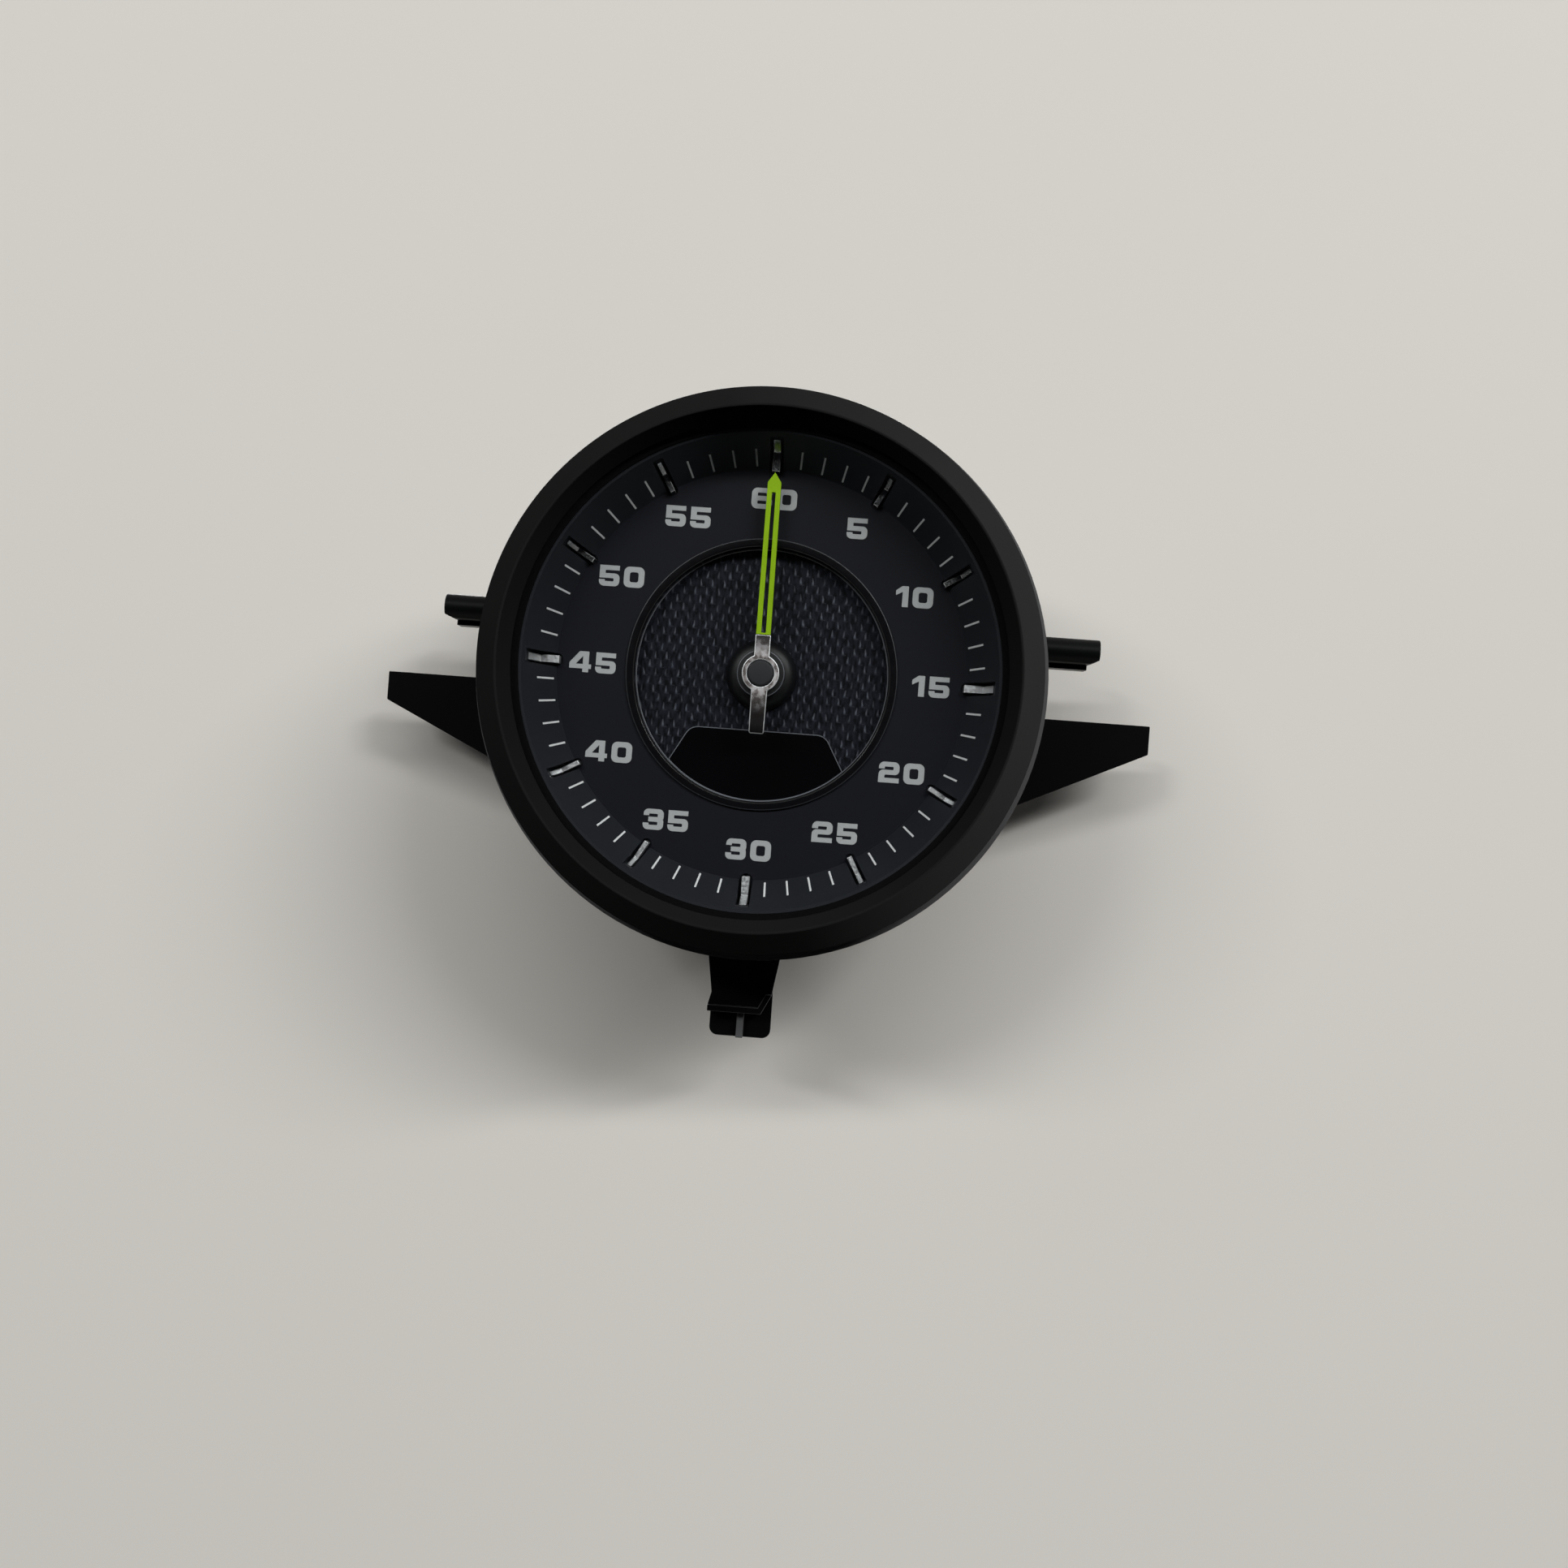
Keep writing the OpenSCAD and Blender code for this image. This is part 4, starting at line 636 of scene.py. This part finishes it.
W, H = FIGURE_W, FIGURE_H
FIGURES = {
    "0": (W, [[(0, 0, 0.8), (W, 0, 0.8), (W, H, 0.8), (0, H, 0.8)],
              [(BAR, 0.76, 0.3), (W - BAR, 0.76, 0.3), (W - BAR, H - 0.76, 0.3),
               (BAR, H - 0.76, 0.3)]]),
    "1": (1.78, [[(0.94, 0, 0), (1.78, 0, 0), (1.78, H, 0.1), (0.88, H, 0.1), (0, 2.3, 0.05),
                  (0, 1.62, 0.05), (0.94, 2.12, 0)]]),
    "2": (W, [[(0, 1.95, 0), (0, H, 0.75), (W, H, 0.75), (W, LOW_IN, 0.65), (BAR, LOW_IN, 0.2),
               (BAR, LOW, 0.05), (W, LOW, 0), (W, 0, 0), (0, 0, 0), (0, HIGH, 0.65),
               (W - BAR, HIGH, 0.12), (W - BAR, HIGH_IN, 0.12), (BAR, HIGH_IN, 0.12),
               (BAR, 1.95, 0)]]),
    "3": (W, [[(0.05, 2.0, 0), (0.05, H, 0.7), (W, H, 0.7), (W, 1.62, 0.2), (W - 0.1, 1.475, 0),
               (W, 1.33, 0.2), (W, 0, 0.7), (0, 0, 0.7), (0, 0.95, 0), (BAR, 0.95, 0),
               (BAR, LOW, 0.1), (W - BAR, LOW, 0.12), (W - BAR, LOW_IN, 0.12), (0.75, LOW_IN, 0),
               (0.75, HIGH, 0), (W - BAR, HIGH, 0.12), (W - BAR, HIGH_IN, 0.12),
               (BAR, HIGH_IN, 0.1), (BAR, 2.0, 0)]]),
    "4": (3.1, [[(1.9, 0, 0), (2.74, 0, 0), (2.74, 0.5, 0), (3.1, 0.5, 0), (3.1, 1.14, 0),
                 (2.74, 1.14, 0), (2.74, H, 0.1), (1.4, H, 0.1), (0, 1.3, 0.1), (0, 0.5, 0.05),
                 (1.9, 0.5, 0)],
                [(0.92, 1.14, 0.05), (1.9, 1.14, 0), (1.9, 2.3, 0.05)]]),
    "5": (W, [[(0.05, H, 0), (W - 0.06, H, 0), (W - 0.06, HIGH_IN, 0), (0.88, HIGH_IN, 0.06),
               (0.88, HIGH, 0.06), (W, HIGH, 0.65), (W, 0, 0.7), (0, 0, 0.7), (0, 0.92, 0),
               (BAR, 0.92, 0), (BAR, LOW, 0.1), (W - BAR, LOW, 0.12), (W - BAR, LOW_IN, 0.12),
               (0.05, LOW_IN, 0)]]),
    "6": (W, [[(0, 0, 0.8), (W, 0, 0.75), (W, HIGH, 0.65), (BAR, HIGH, 0.06),
               (BAR, HIGH_IN, 0.12), (W - BAR, HIGH_IN, 0.1), (W - BAR, 2.08, 0), (W, 2.08, 0),
               (W, H, 0.75), (0, H, 0.8)],
              [(BAR, LOW, 0.12), (W - BAR, LOW, 0.12), (W - BAR, LOW_IN, 0.12),
               (BAR, LOW_IN, 0.12)]]),
}


def figure(loops):
    """One inked figure: its outlines with rounded corners, filled and raised by the ink."""
    bm = bmesh.new()
    for loop in loops:
        corners = [bm.verts.new((x, y, 0)) for x, y, _ in loop]
        bm.faces.new(corners)
        for corner, (_, _, radius) in zip(corners, loop):
            if radius:
                bmesh.ops.bevel(bm, geom=[corner], offset=radius, offset_type="OFFSET",
                                affect="VERTICES", segments=FIGURE_STEPS, profile=0.5,
                                material=-1)
    bmesh.ops.delete(bm, geom=bm.faces[:], context="FACES_ONLY")
    bmesh.ops.triangle_fill(bm, edges=bm.edges[:], use_beauty=True, normal=(0, 0, 1))
    raised = bmesh.ops.extrude_face_region(bm, geom=bm.faces[:])["geom"]
    bmesh.ops.translate(bm, verts=[g for g in raised if isinstance(g, bmesh.types.BMVert)],
                        vec=(0, 0, INK))
    bmesh.ops.recalc_face_normals(bm, faces=bm.faces)
    return bm


numerals = bmesh.new()
for minute in range(5, 65, 5):
    words = [FIGURES[digit] for digit in str(minute)]
    width = sum(w for w, _ in words) + FIGURE_GAP * (len(words) - 1)
    angle = math.radians(6 * minute)
    left = FIGURES_ACROSS * math.sin(angle) - width / 2
    base = FIGURES_UP * math.cos(angle) - FIGURE_H / 2
    for w, loops in words:
        inked = figure(loops)
        bmesh.ops.translate(inked, verts=inked.verts, vec=(left, base, DIAL_Z))
        bmesh.ops.transform(inked, matrix=UPRIGHT, verts=inked.verts)
        part = bpy.data.meshes.new("figure")
        inked.to_mesh(part)
        inked.free()
        numerals.from_mesh(part)
        bpy.data.meshes.remove(part)
        left += w + FIGURE_GAP


def screen_ink(name, thin, full):
    """Screen ink looks flat, a little thinner here and there."""
    made, tree = new_finish(name)
    place = add(tree, "TexCoord", {}).outputs["Object"]
    screen = add(tree, "TexNoise", {"Vector": place, "Scale": 1000 / 0.25, "Detail": 2.0})
    tint = add(tree, "Mix", {0: screen.outputs[0], 6: colour(thin), 7: colour(full)},
               data_type="RGBA")
    skin = add(tree, "BsdfPrincipled", {"Base Color": tint.outputs[2], "Roughness": 0.6,
                                        "Specular IOR Level": 0.2})
    add(tree, "OutputMaterial", {"Surface": skin.outputs[0]})
    return made


grey_ink = screen_ink("light_grey_screen_ink", "#999c9c", "#a6a9a9")
set_in_place(numerals, "numerals", grey_ink, "gauge", [])


# Chapter ring, a grained black ring that rises steeply from the dial to the lens. White minute
# marks are printed on its slope, except where an index stands. It sits 0.7 degrees clockwise.
MARK_W = 0.27
MARK_TURN = 0.7
MARK_FROM, MARK_TO = 29.4, 31.2
SLOPE_FOOT = (29.1, 40.0)
SLOPE_TOP = (32.9, 46.7)

# Grained ABS looks charcoal and dull, and its grain catches the light.
chapter_abs = moulded("grained_black_abs", "#1b1d21", "#23252a", 0.5, 0.3, 0.02, 0.15)
dress("chapter_ring", chapter_abs)

rise = (SLOPE_TOP[1] - SLOPE_FOOT[1]) / (SLOPE_TOP[0] - SLOPE_FOOT[0])
lean = math.atan(rise)
middle = (MARK_FROM + MARK_TO) / 2
middle_z = SLOPE_FOOT[1] + rise * (middle - SLOPE_FOOT[0])
mark_l = (MARK_TO - MARK_FROM) / math.cos(lean)
minute_marks = bmesh.new()
for minute in range(60):
    if minute % 5 == 0:
        continue
    spot = (Matrix.Rotation(math.radians(-6 * minute - MARK_TURN), 4, "Z")
            @ Matrix.Translation((0, middle, middle_z)) @ Matrix.Rotation(lean, 4, "X")
            @ Matrix.Diagonal((MARK_W, mark_l, 2 * INK, 1)))
    bmesh.ops.create_cube(minute_marks, size=1.0, matrix=UPRIGHT @ spot)

# The marks' ink is the same kind in white.
white_ink = screen_ink("white_screen_ink", "#cccece", "#dcdede")
set_in_place(minute_marks, "minute_marks", white_ink, "gauge", [])


# Twelve indices, the quarters wider than the rest, and the pointer's carrier, all plated. An index
# lies flat on the dial and bends up the slope, the carrier is a ring with a neck and a tail.
def plated(name, smooth, rough, metal, patch):
    """Chrome over a moulding: its gloss varies from smooth to rough in patches, sized in mm."""
    made, tree = new_finish(name)
    place = add(tree, "TexCoord", {}).outputs["Object"]
    haze = add(tree, "TexNoise", {"Vector": place, "Scale": 1000 / patch, "Detail": 2.0})
    dull = add(tree, "MapRange", {0: haze.outputs[0], 1: 0.35, 2: 0.65, 3: smooth, 4: rough})
    tint = add(tree, "Mix", {0: haze.outputs[0], 6: colour("#a9abac"), 7: colour("#e4e6e7")},
               data_type="RGBA")
    skin = add(tree, "BsdfPrincipled", {"Base Color": tint.outputs[2], "Metallic": metal,
                                        "Roughness": dull.outputs[0]})
    add(tree, "OutputMaterial", {"Surface": skin.outputs[0]})
    return made


# The edges are buffed and scatter more light, so a bright line runs round each plated piece.
buffed = plated("buffed_chrome_edge", 0.42, 0.52, 0.85, 0.8)
satin_chrome = plated("satin_chrome", 0.32, 0.5, 0.9, 0.35)
# The upper indices are smoother, so they mirror the dark in front of the gauge.
SMOOTH_FROM = 10.0
smooth_chrome = plated("smooth_chrome", 0.12, 0.24, 0.98, 0.35)
for node in ("hour_indices", "quarter_indices"):
    bars = set_in_place(softened(node, 0.07, 1, 1), node.replace("indices", "bars"), satin_chrome,
                        "gauge", [node])
    bars.data.materials.append(buffed)
    part_finish(bars, smooth_chrome, lambda r, x, y, z: y > SMOOTH_FROM)
# The carrier is wiped to a soft shine round its ring, and mirrors the dark towards its tail's end.
WIPED_R = 2.5
MIRROR_R = 5.8
wiped_chrome, tree = new_finish("wiped_chrome")
place = add(tree, "TexCoord", {}).outputs["Object"]
flat = add(tree, "VectorMath", {0: place, 1: (1, 0, 1)}, operation="MULTIPLY")
away = add(tree, "VectorMath", {0: flat.outputs[0]}, operation="LENGTH")
near = add(tree, "MapRange", {0: away.outputs["Value"], 1: WIPED_R / 1000, 2: MIRROR_R / 1000,
                              3: 1.0, 4: 0.0})
smudge = add(tree, "TexNoise", {"Vector": place, "Scale": 1000 / 0.9, "Detail": 2.0})
patch = add(tree, "MapRange", {0: smudge.outputs[0], 1: 0.4, 2: 0.6, 3: 0.35, 4: 1.0})
wipe = add(tree, "Math", {0: near.outputs[0], 1: patch.outputs[0]}, operation="MULTIPLY")
dull = add(tree, "MapRange", {0: wipe.outputs[0], 3: 0.16, 4: 0.42})
metal = add(tree, "MapRange", {0: wipe.outputs[0], 3: 1.0, 4: 0.9})
# Its colour drifts to rosy patches: painted reflection.
tint = add(tree, "Mix", {0: smudge.outputs[0], 6: colour("#c4b2a6"), 7: colour("#d2d6dc")},
           data_type="RGBA")
skin = add(tree, "BsdfPrincipled", {"Base Color": tint.outputs[2], "Metallic": metal.outputs[0],
                                    "Roughness": dull.outputs[0]})
add(tree, "OutputMaterial", {"Surface": skin.outputs[0]})
carrier = set_in_place(softened("pointer_carrier", 0.14, 2, 1), "carrier", wiped_chrome,
                       "pointer", ["pointer_carrier"])
carrier.data.materials.append(buffed)


# Pointer: a slotted blade in fluorescent green on a black hub, with a dark grey cap pressed into
# the carrier's ring.
SMALL_STEPS = 96
HUB_R, SPINDLE_R = 3.35, 0.75
HUB_FOOT, HUB_TOP = 40.9, 42.2
HUB_EDGE_R, HUB_EDGE_Z = 3.22, 42.07
CAP_R, CAP_TOP = 1.83, 43.35
hub = set_in_place(turned([(SPINDLE_R, HUB_FOOT, 0), (HUB_R, HUB_FOOT, 0.1),
                           (HUB_R, HUB_TOP, 0.12), (SPINDLE_R, HUB_TOP, 0)], SMALL_STEPS),
                   "hub", satin_black, "pointer", ["pointer_hub"])
# The hub's upper edge is painted pale: a painted highlight.
part_finish(hub, painted_highlight_edge, lambda r, x, y, z: r > HUB_EDGE_R and z > HUB_EDGE_Z)

# Fluorescent lacquer looks a strong yellow-green, matt, with a slight drift of tone.
green, tree = new_finish("fluorescent_green_lacquer")
place = add(tree, "TexCoord", {}).outputs["Object"]
drift = add(tree, "TexNoise", {"Vector": place, "Scale": 1000 / 3, "Detail": 2.0})
tint = add(tree, "Mix", {0: drift.outputs[0], 6: colour("#80a60a"), 7: colour("#8cb312")},
           data_type="RGBA")
skin = add(tree, "BsdfPrincipled", {"Base Color": tint.outputs[2], "Roughness": 0.5,
                                    "Specular IOR Level": 0.1})
add(tree, "OutputMaterial", {"Surface": skin.outputs[0]})
set_in_place(softened("pointer_hand", 0.05), "blade", green, "pointer",
             ["pointer_hand"])

# Matt ABS looks dark grey and dry.
cap_grey = moulded("dark_grey_matt_abs", "#1d1e20", "#232426", 0.55, 0.15, 0.006, 0.25)
set_in_place(turned([(0, HUB_TOP, 0), (CAP_R, HUB_TOP, 0), (CAP_R, CAP_TOP, 0.3),
                     (0, CAP_TOP, 0)], SMALL_STEPS),
             "cap", cap_grey, "pointer", ["pointer_cap"])


# Lens, a flat clear acrylic disc, laid on a thin black rubber gasket on the chapter ring's rim.
# The bezel's lip holds both down.
dress("lens_gasket", moulded("black_epdm_rubber", "#060607", "#090909", 0.8, 0.2, 0.01, 0.05))

# Lens acrylic is clear and glossy, hazed a little where it was wiped.
lens_acrylic, tree = new_finish("clear_acrylic_lens")
place = add(tree, "TexCoord", {}).outputs["Object"]
wipe = add(tree, "TexNoise", {"Vector": place, "Scale": 1000 / 20, "Detail": 2.0})
haze = add(tree, "MapRange", {0: wipe.outputs[0], 3: 0.0, 4: 0.02})
skin = add(tree, "BsdfPrincipled", {"Base Color": colour("#fbfdfd"), "IOR": 1.49,
                                    "Transmission Weight": 1.0, "Roughness": haze.outputs[0]})
add(tree, "OutputMaterial", {"Surface": skin.outputs[0]})
dress("lens", lens_acrylic)
# The lens stops no light on its way to the dial, and no other piece mirrors it.
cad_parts["lens"].visible_shadow = False
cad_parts["lens"].visible_diffuse = False
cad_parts["lens"].visible_glossy = False


# Bezel, a charcoal ring with a soft-touch coat, screwed to the flange from behind. It slopes
# outwards from a narrow crest, and its inner wall leans out from the lens to the crest.
BEZEL_STEPS = 256
BEZEL_IN, BEZEL_OUT = 35.7, 39.1
FLANGE_FACE, LENS_FACE = 42.0, 48.6
SHOULDER_Z, CREST_Z = 47.65, 52.0
CREST_IN, CREST_OUT, OPENING_R = 35.4, 35.7, 34.0
WALL_OUT, WALL_FOOT = 35.3, 48.55

# A soft-touch coat looks charcoal and dead matt.
soft_touch = moulded("charcoal_soft_touch_coat", "#1a1a1a", "#1e1e1e", 0.6, 0.25, 0.006, 0.0)
bezel = set_in_place(turned([(BEZEL_IN, FLANGE_FACE, 0), (BEZEL_OUT, FLANGE_FACE, 0.2),
                             (BEZEL_OUT, SHOULDER_Z, 0.41), (CREST_OUT, CREST_Z, 0.1),
                             (CREST_IN, CREST_Z, 0.12), (OPENING_R, LENS_FACE, 0.2),
                             (BEZEL_IN, LENS_FACE, 0)], BEZEL_STEPS),
                     "bezel", soft_touch, "gauge", ["bezel_ring"])
# The wall that looks into the dial is painted darker than the coat: painted shade, dull plastic
# under the crest.
inner_wall_painted_shade = moulded("black_abs_painted_shade", "#0a0a0b", "#0d0d0e", 0.6, 0.25, 0.004, 0.02)
part_finish(bezel, inner_wall_painted_shade, lambda r, x, y, z: r < WALL_OUT and z > WALL_FOOT)


# Release latch, a waisted black acetal plate on a pivot bead under the housing, with a raised rim
# and a finger tab with a rib.
# Black acetal looks slick and black. Its rounded edges are painted pale, as painted highlights,
# and its rib's front is painted a paler grey.
latch_acetal = moulded("black_acetal", "#030304", "#060607", 0.35, 0.3, 0.006, 0.15)
latch = set_in_place(softened("release_latch", 0.15, 2, 1), "latch", latch_acetal,
                     "latch", ["release_latch"])
# The pale finish on the rounded edges is a painted highlight.
latch.data.materials.append(moulded("acetal_painted_highlight_edge", "#2c2d2e", "#363738", 0.45, 0.3, 0.006,
                                    0.2))
RIB_HALF = 0.6
RIB_FROM = -49.9
RIB_FRONT = 25.0
# The rib's front is painted a paler grey.
pale_rib_acetal = moulded("acetal_pale_grey", "#464748", "#525354", 0.45, 0.3, 0.006, 0.3)
part_finish(latch, pale_rib_acetal,
            lambda r, x, y, z: abs(x) < RIB_HALF and y < RIB_FROM and z > RIB_FRONT)
